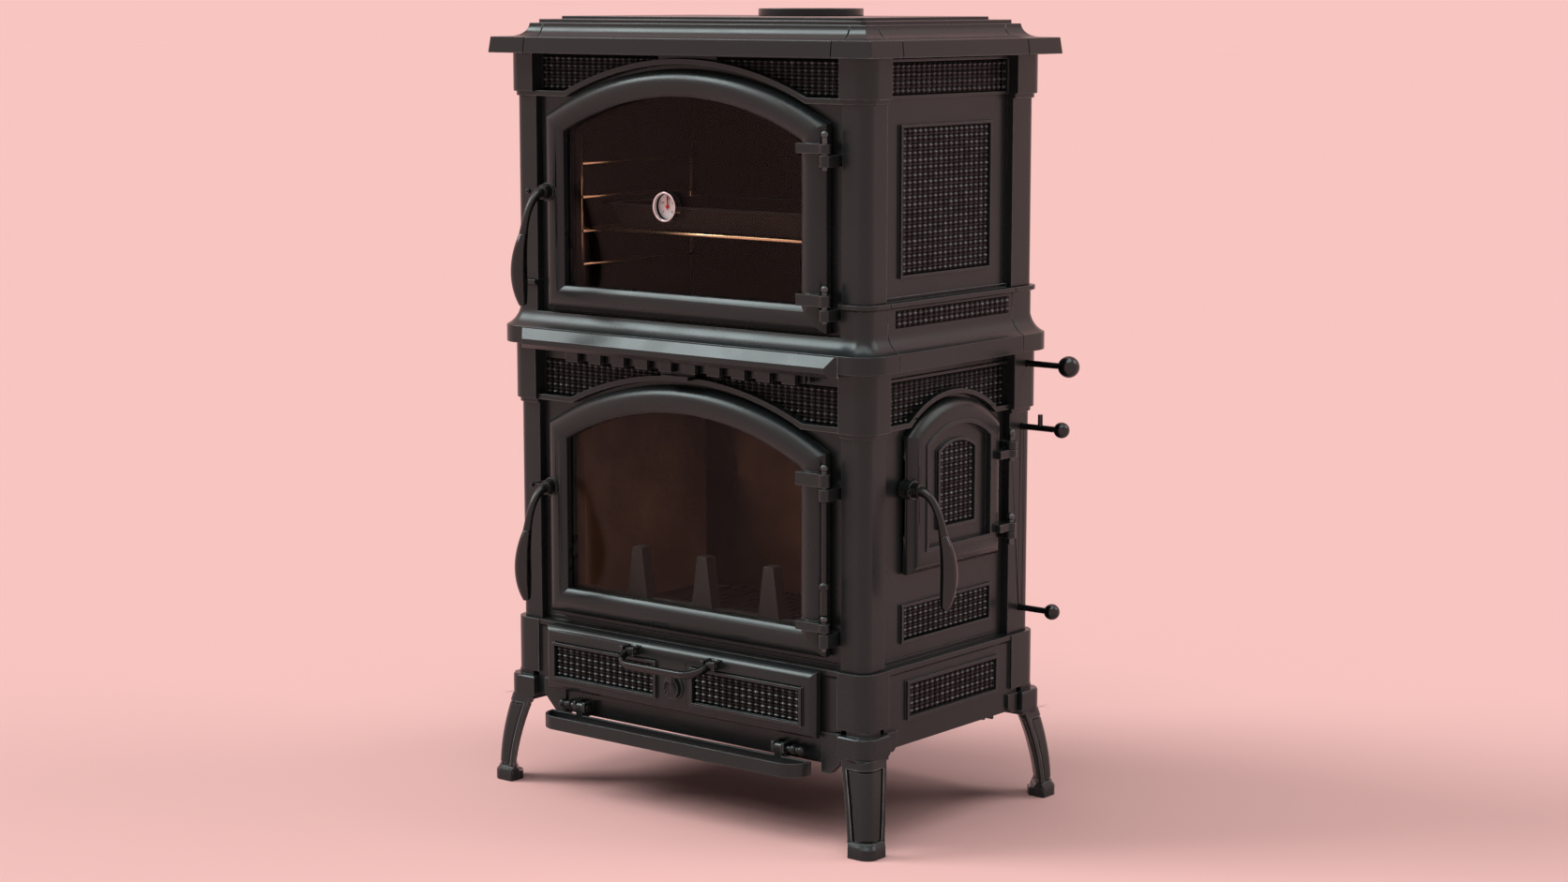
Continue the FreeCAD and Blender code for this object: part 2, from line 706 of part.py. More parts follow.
def make_leg(name, flip_x, flip_y):
    """Splayed cast leg with a sunk border round its panel, +X pointing out along the diagonal."""
    bevel = 3
    collar = prism(f"{name}_collar", "XY", collar_level, collar_top - bevel,
                   collar_plan(collar_step, collar_side, collar_round))
    collar_head = lofted(f"{name}_collar_head", [
        (collar_top - bevel, collar_plan(collar_step, collar_side, collar_round)),
        (collar_top, collar_plan(collar_step - 2, collar_side - 4, collar_round - 2)),
    ])
    neck = prism(f"{name}_neck", "XY", collar_top, base_level,
                 collar_plan(neck_step, collar_side - 2 * (collar_step - neck_step), collar_round - 10))
    bead_under = prism(f"{name}_bead", "XY", collar_level - 7, collar_level,
                       collar_plan(collar_step - 1, collar_side - 4, collar_round))
    bolt_reach = (leg_bolt_inset - leg_inset) * math.sqrt(2)
    tab_round, tab_half, tab_thick = 13, 15, 8
    tab = prism(f"{name}_tab", "XY", floor_level - tab_thick, floor_level,
                rectangle(-bolt_reach - tab_round, 0, -tab_half, tab_half))
    bolt_hole = cylinder(f"{name}_tab_hole", "Z", leg_bolt_radius, (-bolt_reach, 0, floor_level - 12), 16)
    low, high = shank_base + 2 * leg_border, leg_top - 2 * leg_border
    window = leg_window(f"{name}_window", leg_border, low, high)
    border = cut(f"{name}_border", leg_loft(f"{name}_shank", 0, 0),
                 [cut(f"{name}_recess", window, [leg_loft(f"{name}_core", leg_groove, 2)])])
    panel_window = leg_window(f"{name}_panel_window", leg_border + leg_groove, low + leg_groove, high - leg_groove)
    panel = common(f"{name}_panel", panel_window, leg_loft(f"{name}_face", 0.8, 2))
    toe_back, ankle_back, instep_height = 50, 54, 7
    toe_plan = leg_plan(toe_out, toe_half, toe_back, leg_nose)
    ankle_plan = leg_plan(leg_foot_step, leg_foot_half, ankle_back, leg_nose)
    toe = prism(f"{name}_toe", "XY", foot_level, toe_height, toe_plan)
    instep = lofted(f"{name}_instep", [(toe_height, toe_plan), (toe_height + instep_height, ankle_plan)])
    heel_x, heel_half, heel_round = 57, 14, 8
    heel = prism(f"{name}_heel", "XY", foot_level, toe_height - 2, rounded(heel_half, heel_half, heel_round))
    bind(heel, "Placement.Base.x", as_size(heel_x))
    angle = math.degrees(math.atan2(flip_y, flip_x))
    body = fused(f"{name}_body", [collar, collar_head, neck, bead_under, tab, border, panel, toe, instep, heel])
    finish(cut(name, body, [bolt_hole]), name, flip_x * (half_width - leg_inset),
           flip_y * (half_depth - leg_inset), 0, angle)


def make_tie_rods():
    """Rods that clamp the castings together, and the bolts with wing nuts of the legs."""
    nut_radius, nut_height, below_hearth = 9, 10, 14
    bolt_length, head_radius, head_height = 50, 8, 5
    hub_height, wing_reach, wing_half, wing_height = 12, 20, 2, 14
    solids = []
    for name, fx, fy in corners():
        x, y = fx * tie_x, fy * tie_y
        rod = cylinder(f"tie_{name}", "Z", tie_radius, (x, y, hearth_under - below_hearth),
                       lip_level - hearth_under + below_hearth)
        nut = cylinder(f"tie_nut_{name}", "Z", nut_radius, (x, y, hearth_under - nut_height), nut_height)
        solids.append(fused(f"tie_rod_{name}", [rod, nut]))
        x, y = leg_bolt_place(fx, fy)
        wing_level = collar_level - 18
        bolt = cylinder(f"leg_bolt_{name}", "Z", leg_bolt_radius, (x, y, collar_level - 22), bolt_length)
        head = cylinder(f"leg_bolt_head_{name}", "Z", head_radius, (x, y, floor_level + floor_thick), head_height)
        hub = cylinder(f"wing_hub_{name}", "Z", head_radius, (x, y, wing_level), hub_height)
        wings = box(f"wings_{name}", (x - wing_reach, x + wing_reach), (y - wing_half, y + wing_half),
                    (wing_level, wing_level + wing_height))
        solids.append(fused(f"leg_fixing_{name}", [bolt, head, hub, wings]))
    finish(group("tie_rods", solids), "tie_rods_and_leg_bolts")


lever_levels = {
    "damper": size("damper_level", 721, "height of the damper lever"),
    "air": size("air_level", 618, "height of the air lever"),
    "grate": size("grate_level", 320, "height of the grate lever"),
}
lever_radius = size("lever_radius", 5, "lever rods")
doc.recompute()


def lever_bores(name, start):
    """Clearance holes for the three lever rods."""
    clearance, length = 0.5, 45
    return [cylinder(f"{name}_{lever}_bore", "X", lever_radius + clearance, (start, lever_y, level), length)
            for lever, level in lever_levels.items()]


def make_post(storey, name, flip_x, flip_y, low, band_low, high):
    """Corner post of one storey: the plain shaft, the bead and the band at its head."""
    title = f"{storey}_post_{name}"
    bead_step, bead_height = 4, 7
    shaft = corner_solid(title + "_shaft", flip_x, flip_y, 0, low, high)
    ledge = corner_solid(title + "_bead", flip_x, flip_y, bead_step, band_low - bead_height, band_low)
    band = corner_solid(title + "_band", flip_x, flip_y, band_step, band_low, high)
    post = fused(title + "_whole", [shaft, ledge, band])
    if storey == "lower" and name == "rear_right":
        post = cut(title, post, lever_bores("post", panel_x - 5))
    finish(post, title)


# ---------------------------------------------------------------- front frames and panels

keeper_x = size("keeper_x", 309, "latch keeper pins, left of the centre")
keeper_radius = size("keeper_radius", 3.5, "latch keeper pins")
moulding_low = size("moulding_low", 50, "inner edge of the mouldings over the doors, outside the glass")
moulding_high = size("moulding_high", 59, "outer edge of the mouldings over the doors, outside the glass")
moulding_thick = size("moulding_thick", 16, "how far those mouldings stand out from the front plates")
lower_band_top = size("lower_band_top", 727, "top of the side fields under the waist")
low_field = (-119, 121), (310, 372)
tall_field_span = (-127, 112)
doc.recompute()


def knuckles(prefix, spans):
    """Fixed hinge knuckles standing forward from a front plate."""
    pieces = []
    for n, (low, high) in enumerate(spans):
        pieces.append(cylinder(f"{prefix}_knuckle_{n}", "Z", eye_radius, (hinge_x, -hinge_y, low), high - low))
        pieces.append(box(f"{prefix}_bracket_{n}", (hinge_x - eye_radius + 1, hinge_x + eye_radius),
                          (-hinge_y, -panel_y), (low, high)))
    return pieces


def front_frame(name, arch, low, high, moulding_level, knuckle_spans, handle_z, extras):
    mouth_margin, keeper_front = 4, hinge_y + 6
    front = prism(f"{name}_plate", "XZ", -panel_y, plate - panel_y,
                  rectangle(-panel_x, panel_x, low, high), arch.outline(mouth_margin))
    end = half_width - post_face
    moulding = prism(f"{name}_moulding", "XZ", -panel_y - moulding_thick, -panel_y,
                     arch.moulding(moulding_low, moulding_high, moulding_level, end, end))
    keeper = cylinder(f"{name}_keeper", "Y", keeper_radius, (-keeper_x, -keeper_front, handle_z),
                      keeper_front - panel_y)
    whole = fused(f"{name}_whole", [front, moulding, keeper] + knuckles(name, knuckle_spans) + extras)
    bore = cylinder(f"{name}_bore", "Z", pin_radius + running_gap, (hinge_x, -hinge_y, low), high - low)
    finish(cut(name, whole, [bore]), name)


def make_lower_front_frame():
    guide_half, guide_base, guide_top = 255, 722, 732
    guide = box("air_guide", (-guide_half, guide_half), (0.5 - panel_y - moulding_thick, -panel_y),
                (guide_base, guide_top))
    knuckle_spans = ((318, 340), (546, 565))
    front_frame("lower_front_frame", fire_arch, deck_top, waist_level, lower_band_level,
                knuckle_spans, fire_handle_z, [guide])


def make_upper_front_frame():
    knuckle_spans, under_band = ((820, 838), (1052, 1070)), 7
    front_frame("upper_front_frame", oven_arch, waist_level, lip_level, upper_band_level - under_band,
                knuckle_spans, oven_handle_z, [])


def bead_frame(name, flip, span_y, span_z):
    """Raised bead round a rectangular field on a side panel."""
    (y0, y1), (z0, z1) = span_y, span_z
    low = panel_x if flip > 0 else -panel_x - bead
    return prism(name, "YZ", low, low + bead, rectangle(y0, y1, z0, z1),
                 rectangle(y0 + bead, y1 - bead, z0 + bead, z1 - bead))


def side_plate(name, flip, low, high, *holes):
    inner = panel_x - plate if flip > 0 else -panel_x
    reach = panel_y - plate
    return prism(name, "YZ", inner, inner + plate, rectangle(-reach, reach, low, high), *holes)


def make_upper_side_panel(name, flip):
    title = f"upper_{name}_panel"
    run = (-panel_front, panel_rear)
    field_base, field_top, strip_height = 879, 1113, 6
    finish(fused(title, [
        side_plate(title + "_plate", flip, bearer_top, lip_level),
        bead_frame(title + "_field", flip, tall_field_span, (field_base, field_top)),
        bead_frame(title + "_band", flip, run, (upper_band_level, lip_level - 2)),
        bead_frame(title + "_strip", flip, run, (ledge_level, ledge_level + strip_height)),
    ]), title)


def make_lower_left_panel():
    field_base, field_top = 425, 632
    finish(fused("lower_left", [
        side_plate("lower_left_plate", -1, deck_top, waist_level),
        bead_frame("lower_left_field", -1, tall_field_span, (field_base, field_top)),
        bead_frame("lower_left_low", -1, *low_field),
        bead_frame("lower_left_band", -1, (-panel_front, panel_rear), (lower_band_level, lower_band_top)),
    ]), "lower_left_panel")


def make_lower_right_panel():
    lap, gap, strip, stand_out = 26, 6, 8, 12
    plate_piece = side_plate("lower_right_plate", 1, deck_top, waist_level, side_arch.outline(-lap))
    moulding = prism("lower_right_moulding", "YZ", panel_x, panel_x + stand_out,
                     side_arch.moulding(gap, gap + strip, lower_band_level, panel_front + side_door_middle,
                                        panel_rear - side_door_middle))
    fields = [
        bead_frame("lower_right_low", 1, *low_field),
        box("lower_right_band", (panel_x, panel_x + bead), (-panel_front, panel_rear),
            (lower_band_top - bead, lower_band_top)),
    ]
    hinge = []
    knuckle_spans, bracket_lap, bore_back = ((444, 456), (590, 602)), 6, 20
    for n, (low, high) in enumerate(knuckle_spans):
        hinge.append(cylinder(f"side_knuckle_{n}", "Z", eye_radius, (side_hinge_x, side_hinge_y, low), high - low))
        hinge.append(box(f"side_bracket_{n}", (panel_x, side_hinge_x),
                         (side_hinge_y - bracket_lap, side_hinge_y + eye_radius), (low, high)))
    bores = [cylinder("side_bore", "Z", pin_radius + running_gap,
                      (side_hinge_x, side_hinge_y, side_door_base), side_door_spring - side_door_base)]
    bores += lever_bores("panel", panel_x - bore_back)
    whole = fused("lower_right_whole", [plate_piece, moulding] + fields + hinge)
    finish(cut("lower_right", whole, bores), "lower_right_panel")


def make_back_panel(storey, low, high, field_base, field_top):
    title = f"{storey}_back_panel"
    field_half = 280
    back = box(title + "_plate", (-panel_x, panel_x), (panel_y - plate, panel_y), (low, high))
    border = prism(f"{title}_bead", "XZ", panel_y, panel_y + bead,
                   rectangle(-field_half, field_half, field_base, field_top),
                   rectangle(bead - field_half, field_half - bead, field_base + bead, field_top - bead))
    finish(fused(title, [back, border]), title)


# ---------------------------------------------------------------- waist and top

slit = size("slit", 1.6, "gap between a corner casting and the strips beside it")


def side_slits(name, inner, outer, low, high):
    """Thin gaps through both sides of a ring, where its corner castings end."""
    return [
        box(f"{name}_{side}_{n}", in_order(flip * inner, flip * outer), (y - slit / 2, y + slit / 2), (low, high))
        for side, flip in sides() for n, y in enumerate((-panel_front, panel_rear))
    ]


def make_waist_frame():
    ring = swept("waist_ring", "XY", rounded(panel_x, panel_y, post_corner - post_wall), "XZ", 0, [
        (panel_x, waist_level),
        (half_width + skirt_step, waist_level),
        (half_width + skirt_step, skirt_level, -size("cove_radius", 40, "hollow of the waist's cove")),
        (half_width + 2, cove_level),
        (half_width + 2, neck_level),
        (half_width + band_step, neck_level + 3),
        (half_width + band_step, ledge_level),
        (panel_x, ledge_level),
    ])
    bearer_half, slack = 15, 5
    low, high = waist_level - slack, ledge_level + slack
    bearers = [
        box(f"oven_bearer_{n}", (-panel_x, panel_x), (y - bearer_half, y + bearer_half), (waist_level, bearer_top))
        for n, y in enumerate((-150, 90))
    ]
    inner_face = post_face - half_width
    clear = box("door_clear", (inner_face, -inner_face), (-half_depth - 60, -panel_y), (cove_level - slack, high))
    core = box("waist_core", (-panel_x, panel_x), (-panel_y, panel_y), (low, high))
    reach = half_width + skirt_step + slack
    slits = side_slits("waist_slit", half_width + 1, reach, low, high)
    ring = cut("waist_open", ring, [clear, core] + slits)
    finish(fused("waist", [ring] + bearers), "waist_frame")


def make_waist_rail():
    """Bar across the front of the waist, with the comb that covers the air inlet."""
    back = half_depth + skirt_step
    bar_half, bar_tip, shoulder = 310, 328, 314
    lap, nose, chin = 6, 17, 9
    bar_base, bar_top = waist_level - lap, skirt_level - 1
    section = prism("rail_section", "YZ", -bar_tip, bar_tip, [
        (-back, waist_level - 0.5),
        (-panel_y - 2, waist_level - 0.5),
        (-panel_y - 2, bar_base),
        (-back - chin, bar_base),
        (-back - nose, bar_base + 8),
        (-back - nose, bar_base + 16),
        (-back - 4, bar_top),
        (-back, bar_top),
    ])
    past = 20
    plan = prism("rail_plan", "XY", bar_base - 4, bar_top + 11, [
        (-bar_half, -back - past), (bar_half, -back - past), (bar_tip, -back), (shoulder, -back),
        (shoulder, -panel_y), (-shoulder, -panel_y), (-shoulder, -back), (-bar_tip, -back),
    ])
    tooth_half, tooth_base, tooth_pitch, last_tooth = 13, 718, 50, 225
    teeth = [
        box(f"tooth_{n}", (x - tooth_half, x + tooth_half), (-half_depth - 18, -half_depth - 10),
            (tooth_base, bar_base))
        for n, x in enumerate(range(-last_tooth, last_tooth + 1, tooth_pitch))
    ]
    finish(fused("waist_bar", [common("rail_bar", section, plan)] + teeth), "waist_rail")


def make_top_plate():
    lip_x, lip_y = half_width + lip_step, half_depth + lip_step
    inset = top_ledge + top_cove
    collar_height, cove_depth, edge_depth, shell = 12, 11, 50, 10
    top = total_height - collar_height
    cove_top = top - cove_depth
    path_inset = inset + 12
    path = rectangle(path_inset - lip_x, lip_x - path_inset, path_inset - lip_y, lip_y - path_inset)
    edge = swept("top_edge", "XY", path, "XZ", 0, [
        (lip_x - edge_depth, lip_level),
        (lip_x, lip_level),
        (lip_x - 3, lip_level + lip_height),
        (lip_x - top_ledge, lip_level + lip_height + 1, -size("top_cove_radius", 22, "hollow of the top cove")),
        (lip_x - inset, cove_top),
        (lip_x - path_inset, cove_top),
        (lip_x - path_inset, cove_top - shell),
        (lip_x - edge_depth, cove_top - shell),
    ])
    step_height, first_step, second_step = 5, 9, 34
    slabs = [
        prism(f"top_slab_{n}", "XY", low, high, rounded(lip_x - step, lip_y - step, radius))
        for n, (step, low, high, radius) in enumerate((
            (path_inset - 2, cove_top - 8, cove_top, 3),
            (inset + first_step, cove_top - 1, top - step_height, 8),
            (inset + second_step, top - step_height - 1, top, 12)))
    ]
    collar_wall, slack = 4.5, 5
    hole = cylinder("flue_hole", "Z", flue_bore + collar_wall, (0, flue_offset, lip_level), 80)
    slits = side_slits("top_slit", lip_x - inset, lip_x + slack, lip_level - slack, top)
    front_slit = 314
    slits += [
        box(f"top_front_slit_{name}", (flip * front_slit - slit / 2, flip * front_slit + slit / 2),
            (-lip_y - slack, inset - lip_y), (lip_level - slack, top))
        for name, flip in sides()
    ]
    finish(cut("top", fused("top_whole", [edge] + slabs), [hole] + slits), "top_plate")


def make_flue_collar():
    flange_height, sleeve_length, sleeve_wall, past = 12, 50, 4, 10
    flange = cylinder("flue_flange", "Z", flue_rim, (0, flue_offset, total_height - flange_height), flange_height)
    sleeve = cylinder("flue_sleeve", "Z", flue_bore + sleeve_wall, (0, flue_offset, total_height - sleeve_length),
                      sleeve_length)
    bore = cylinder("flue_hollow", "Z", flue_bore, (0, flue_offset, total_height - sleeve_length - past),
                    sleeve_length + 2 * past)
    finish(cut("flue", fused("flue_whole", [flange, sleeve]), [bore]), "flue_collar")


# ---------------------------------------------------------------- oven and firebox

oven_half = size("oven_half", 272, "half width of the oven box outside")
oven_wall = size("oven_wall", 5, "thickness of the oven box")
oven_base = size("oven_base", 790, "underside of the oven box")
oven_top = size("oven_top", 1172, "top of the oven box")
oven_back = size("oven_back", 120, "back of the oven box behind the centre")
wire = size("wire", 2.5, "radius of the rack support wires")
rack_level = size("rack_level", 930, "height of the oven rack's wires")
brick = size("brick", 30, "thickness of the firebricks")
brick_top = size("brick_top", 690, "top of the firebricks")
brick_half = size("brick_half", 300, "half width of the brick-lined hearth")
brick_back = size("brick_back", 180, "back of the brick lining behind the centre")
doc.recompute()


def make_oven_box():
    outside = box("oven_outside", (-oven_half, oven_half), (plate - panel_y, oven_back), (oven_base, oven_top))
    inside = box("oven_inside", (oven_wall - oven_half, oven_half - oven_wall),
                 (-panel_y, oven_back - oven_wall), (oven_base + oven_wall, oven_top - oven_wall))
    foot_x, foot_half, foot_front, foot_back = 200, 10, -180, 110
    feet = [
        box(f"oven_foot_{name}", (flip * foot_x - foot_half, flip * foot_x + foot_half), (foot_front, foot_back),
            (bearer_top, oven_base + 2))
        for name, flip in sides()
    ]
    finish(cut("oven", fused("oven_whole", [outside] + feet), [inside]), "oven_box")


def make_rack_supports():
    """Two wire ladders that lie against the oven's side walls."""
    front, back = -170, oven_back - oven_wall
    rung_levels = (rack_level - 60, rack_level - 5.5, rack_level + 50, rack_level + 105)
    upright_height, first_upright, last_upright = 290, front + 3, back - 10
    ladders = []
    for name, flip in sides():
        x = flip * (oven_half - oven_wall - wire)
        rung_x = flip * (oven_half - oven_wall - 2.8 * wire)
        rungs = [
            cylinder(f"rung_{name}_{n}", "Y", wire, (rung_x, front, level), back - front)
            for n, level in enumerate(rung_levels)
        ]
        uprights = [
            cylinder(f"upright_{name}_{n}", "Z", wire, (x, y, oven_base + oven_wall), upright_height)
            for n, y in enumerate((first_upright, last_upright))
        ]
        ladders.append(fused(f"ladder_{name}", rungs + uprights))
    finish(group("ladders", ladders), "rack_supports")


def make_oven_rack():
    half = oven_half - oven_wall - 2 * wire - 0.5
    front, back = -165, oven_back - oven_wall - 5
    rim_radius, bar_radius, last_bar, pitch = 3, 1.8, 240, 24
    rims = [cylinder(f"rack_rim_{n}", "X", rim_radius, (-half, y, rack_level), 2 * half)
            for n, y in enumerate((front, back))]
    rims += [cylinder(f"rack_end_{name}", "Y", rim_radius, (flip * (half - rim_radius), front, rack_level),
                      back - front) for name, flip in sides()]
    bars = [cylinder(f"rack_bar_{n}", "Y", bar_radius, (x, front, rack_level), back - front)
            for n, x in enumerate(range(-last_bar, last_bar + 1, pitch))]
    finish(fused("rack", rims + bars), "oven_rack")


def tray_plan(inset):
    """The tray's plan at its rim, drawn in by inset."""
    half, front, back = 212, -152, 92
    return rectangle(inset - half, half - inset, front + inset, back - inset)


def make_baking_tray():
    sheet_thick, depth, slope, brim = 2, 39, 12, 10
    low, high = rack_level + 3, rack_level + 3 + depth
    shell = lofted("tray_shell", [(low, tray_plan(slope)), (high, tray_plan(0))])
    hollow = lofted("tray_hollow", [(low + sheet_thick, tray_plan(slope + 2)), (high + sheet_thick, tray_plan(1))])
    rim = prism("tray_rim", "XY", high - sheet_thick, high, tray_plan(-brim))
    finish(cut("tray", fused("tray_whole", [shell, rim]), [hollow]), "baking_tray")


def make_firebricks():
    low = deck_top
    third = 2 * brick_half / 3
    bricks = []
    notch_left, notch_right, notch_height = 36, 104, 50
    for n, x in enumerate((-brick_half, -third / 2, third / 2)):
        slab = box(f"back_brick_{n}", (x, x + third), (brick_back - brick, brick_back), (low, brick_top))
        if n == 1:
            notch = box("link_notch", (notch_left, notch_right), (brick_back - brick - 1, brick_back + 1),
                        (low - 1, low + notch_height))
            slab = cut("back_brick_middle", slab, [notch])
        bricks.append(slab)
    front, length = -160, 155
    for n, y in enumerate((front, front + length)):
        bricks.append(box(f"left_brick_{n}", (-brick_half, brick - brick_half), (y, y + length), (low, brick_top)))
    mouth_half, mouth_base, mouth_top = 98, 446, 655
    lining = prism("right_lining", "YZ", brick_half - brick, brick_half,
                   rectangle(front, brick_back - brick, low, brick_top),
                   rectangle(side_door_middle - mouth_half, side_door_middle + mouth_half, mouth_base, mouth_top))
    finish(group("bricks", bricks + [lining]), "firebricks")


def make_baffle_plate():
    front, thick = -110, 14
    slab = box("baffle_slab", (-brick_half, brick_half), (front, brick_back), (brick_top, brick_top + thick))
    finish(group("baffle", [slab]), "baffle_plate")


def make_log_guard():
    front, back, bar_inset, bar_top = -180, -158, 3, 333
    picket_base, picket_top, foot_half, tip_half, pitch = 320, 415, 23, 9.5, 138
    bar = box("guard_bar", (-brick_half, brick_half), (front + 2, back - bar_inset - 1), (deck_top, bar_top))
    pickets = [
        prism(f"picket_{n}", "XZ", front, back, [
            (x - foot_half, picket_base), (x + foot_half, picket_base), (x + tip_half, picket_top),
            (x - tip_half, picket_top),
        ])
        for n, x in enumerate((-pitch, 0, pitch))
    ]
    finish(fused("guard", [bar] + pickets), "log_guard")


# ---------------------------------------------------------------- glazed doors

rebate = size("rebate", 8, "overlap of the frame over the glass")
glass_front = size("glass_front", 222, "front face of the glass, from the centre")
glass_thick = size("glass_thick", 5, "thickness of the glass")
boss_radius = size("boss_radius", 15, "bosses that carry the handle spindles")
boss_stand = size("boss_stand", 4, "how far those bosses stand out from the door frames")
dial_x = size("dial_x", 27, "thermometer, left of the centre")
dial_z = size("dial_z", 978, "height of the thermometer")
dial_radius = size("dial_radius", 23.5, "outside of the thermometer's case")
doc.recompute()


def leaf(name, low, high):
    """Strap across the door's frame that ends in the eye round the hinge pin."""
    eye = cylinder(f"{name}_eye", "Z", eye_radius, (hinge_x, -hinge_y, low), high - low)
    strap_front, strap_sunk = hinge_y + 5, 6
    strap = box(f"{name}_strap", (glass_half + 2, hinge_x), (-strap_front, strap_sunk - door_front), (low, high))
    return [eye, strap]


def make_glazed_door(prefix, arch, leaf_spans, handle_z):
    base = arch.base
    side_drop, inner_drop, seal_inner, seal_outer = 16, 8, 10, 20
    frame = swept(f"{prefix}_door_rim", "XZ", arch.outline(), "YZ", 0, [
        (side_drop - door_front, base - door_rim),
        (-door_back, base - door_rim),
        (-door_back, base - rebate),
        (-glass_front, base - rebate),
        (-glass_front, base),
        (inner_drop - door_front, base, size(f"{prefix}_crown", 27, "crown of the door's frame")),
    ])
    leaves = [piece for n, (low, high) in enumerate(leaf_spans)
              for piece in leaf(f"{prefix}_leaf_{n}", low, high)]
    boss_front = -door_front - boss_stand
    boss = cylinder(f"{prefix}_boss", "Y", boss_radius, (-handle_x, boss_front, handle_z), 20)
    whole = fused(f"{prefix}_door_whole", [frame, boss] + leaves)
    pin_bore = cylinder(f"{prefix}_eye_bore", "Z", pin_radius + running_gap, (hinge_x, -hinge_y, base - 60), 400)
    spindle_bore = cylinder(f"{prefix}_spindle_bore", "Y", spindle_radius + running_gap,
                            (-handle_x, boss_front - 6, handle_z), 28)
    finish(cut(f"{prefix}_door", whole, [pin_bore, spindle_bore]), f"{prefix}_door_frame")
    finish(prism(f"{prefix}_glass", "XZ", -glass_front, glass_thick - glass_front, arch.outline(rebate - 0.5)),
           f"{prefix}_door_glass")
    finish(prism(f"{prefix}_gasket", "XZ", -door_back, -panel_y - 0.5, arch.outline(seal_outer),
                 arch.outline(seal_inner)), f"{prefix}_door_gasket")


def make_handle(prefix, x, y, z, turn):
    """Steel arm and tapered grip, drawn with the spindle at the origin and -Y forward.
    Each station gives the ring's place forward and up, how far its plane dips, and its radius."""
    stations = (
        (-6, 0, 0, 9), (-24, -5, 30, 7), (-43, -28, 62, 6), (-55, -66, 76, 7.5),
        (-64, -98, 82, 12), (-66, -132, 91, 13.5), (-62, -162, 101, 10.5), (-58, -178, 108, 6.5),
    )
    last_of_arm = 3
    rings = []
    for n, (forward, up, dip, radius) in enumerate(stations):
        ring = doc.addObject("Part::Circle", f"{prefix}_ring_{n}")
        ring.Placement = FreeCAD.Placement(Vector(0, forward, up), Rotation(Vector(1, 0, 0), 90 + dip))
        bind(ring, "Radius", radius)
        rings.append(ring)
    pieces = []
    for part_name, chosen in (("arm", rings[:last_of_arm + 1]), ("grip", rings[last_of_arm:])):
        loft = doc.addObject("Part::Loft", f"{prefix}_{part_name}_loft")
        loft.Sections = chosen
        loft.Solid = True
        pieces.append(loft)
    hub_front, hub_radius, hub_length, spindle_length = -12, 12, 11.5, 26
    finger_length, finger_front, finger_back, finger_half = 28, -7, -0.7, 4
    spindle = cylinder(f"{prefix}_spindle", "Y", spindle_radius, (0, hub_front, 0), spindle_length)
    hub = cylinder(f"{prefix}_hub", "Y", hub_radius, (0, hub_front, 0), hub_length)
    finger = box(f"{prefix}_finger", (-finger_length, 0), (finger_front, finger_back), (-finger_half, finger_half))
    finish(fused(f"{prefix}_arm", [pieces[0], spindle, hub, finger]), f"{prefix}_handle_arm", x, y, z, turn)
    finish(pieces[1], f"{prefix}_handle_grip", x, y, z, turn)


def make_thermometer():
    x, back = -dial_x, -glass_front
    depth, rim, face_out, face_thick = 15, 3, 4, 1
    case = cylinder("dial_case", "Y", dial_radius, (x, back - depth, dial_z), depth)
    hollow = cylinder("dial_hollow", "Y", dial_radius - rim, (x, back - depth - 5, dial_z), depth + 1)
    dial = cylinder("dial_face", "Y", dial_radius - rim, (x, back - face_out, dial_z), face_thick)
    finish(group("gauge", [cut("dial_shell", case, [hollow]), dial]), "thermometer")
    hub_radius, hub_front, hub_length = 2.5, 8, 3
    blade_half, blade_front, blade_thick, tail, tip = 0.9, 7, 1, 5, 17
    hub = cylinder("needle_hub", "Y", hub_radius, (x, back - hub_front, dial_z), hub_length)
    needle = box("needle_blade", (x - blade_half, x + blade_half),
                 (back - blade_front, back - blade_front + blade_thick), (dial_z - tail, dial_z + tip))
    finish(fused("needle", [hub, needle]), "thermometer_needle")


def make_hinge_pins():
    cap_radius, cap_rise = 6.5, 3
    front_spans = ((1047, 1098), (817, 866), (545.5, 594), (313, 360))
    side_spans = ((570, 612), (434, 476))
    spans = [(hinge_x, -hinge_y, *span) for span in front_spans]
    spans += [(side_hinge_x, side_hinge_y, *span) for span in side_spans]
    pins = []
    for n, (x, y, low, high) in enumerate(spans):
        shaft = cylinder(f"pin_{n}", "Z", pin_radius, (x, y, low), high - low)
        cap = sphere(f"pin_cap_{n}", cap_radius, (x, y, high + cap_rise))
        pins.append(fused(f"hinge_pin_{n}", [shaft, cap]))
    finish(group("pins", pins), "hinge_pins")


def make_door_spring():
    """Closing spring in its sleeve, in line with the fire door's hinge pins."""
    low, middle, high = 370, 413, 545
    rod_radius, collar_radius, sleeve_radius = 4.25, 8.5, 6.5
    rod = cylinder("spring_rod", "Z", rod_radius, (hinge_x, -hinge_y, middle), high - middle)
    collar = sphere("spring_collar", collar_radius, (hinge_x, -hinge_y, middle))
    sleeve = cylinder("spring_sleeve", "Z", sleeve_radius, (hinge_x, -hinge_y, low), middle - low)
    finish(fused("spring", [rod, collar, sleeve]), "door_spring")


side_face = size("side_face", 2.5, "gap between the side plate and the side door")
side_rim = size("side_rim", 34, "width of the side door's frame")
side_field_half = size("side_field_half", 51, "half width of the side door's inner field")
side_field_base = size("side_field_base", 481, "bottom of the side door's inner field")
side_field_spring = size("side_field_spring", 606, "where the inner field's arch starts")
side_field_apex = size("side_field_apex", 622, "top of the side door's inner field")
doc.recompute()
side_field = Arch(side_door_middle, side_field_half, side_field_base, side_field_spring, side_field_apex)


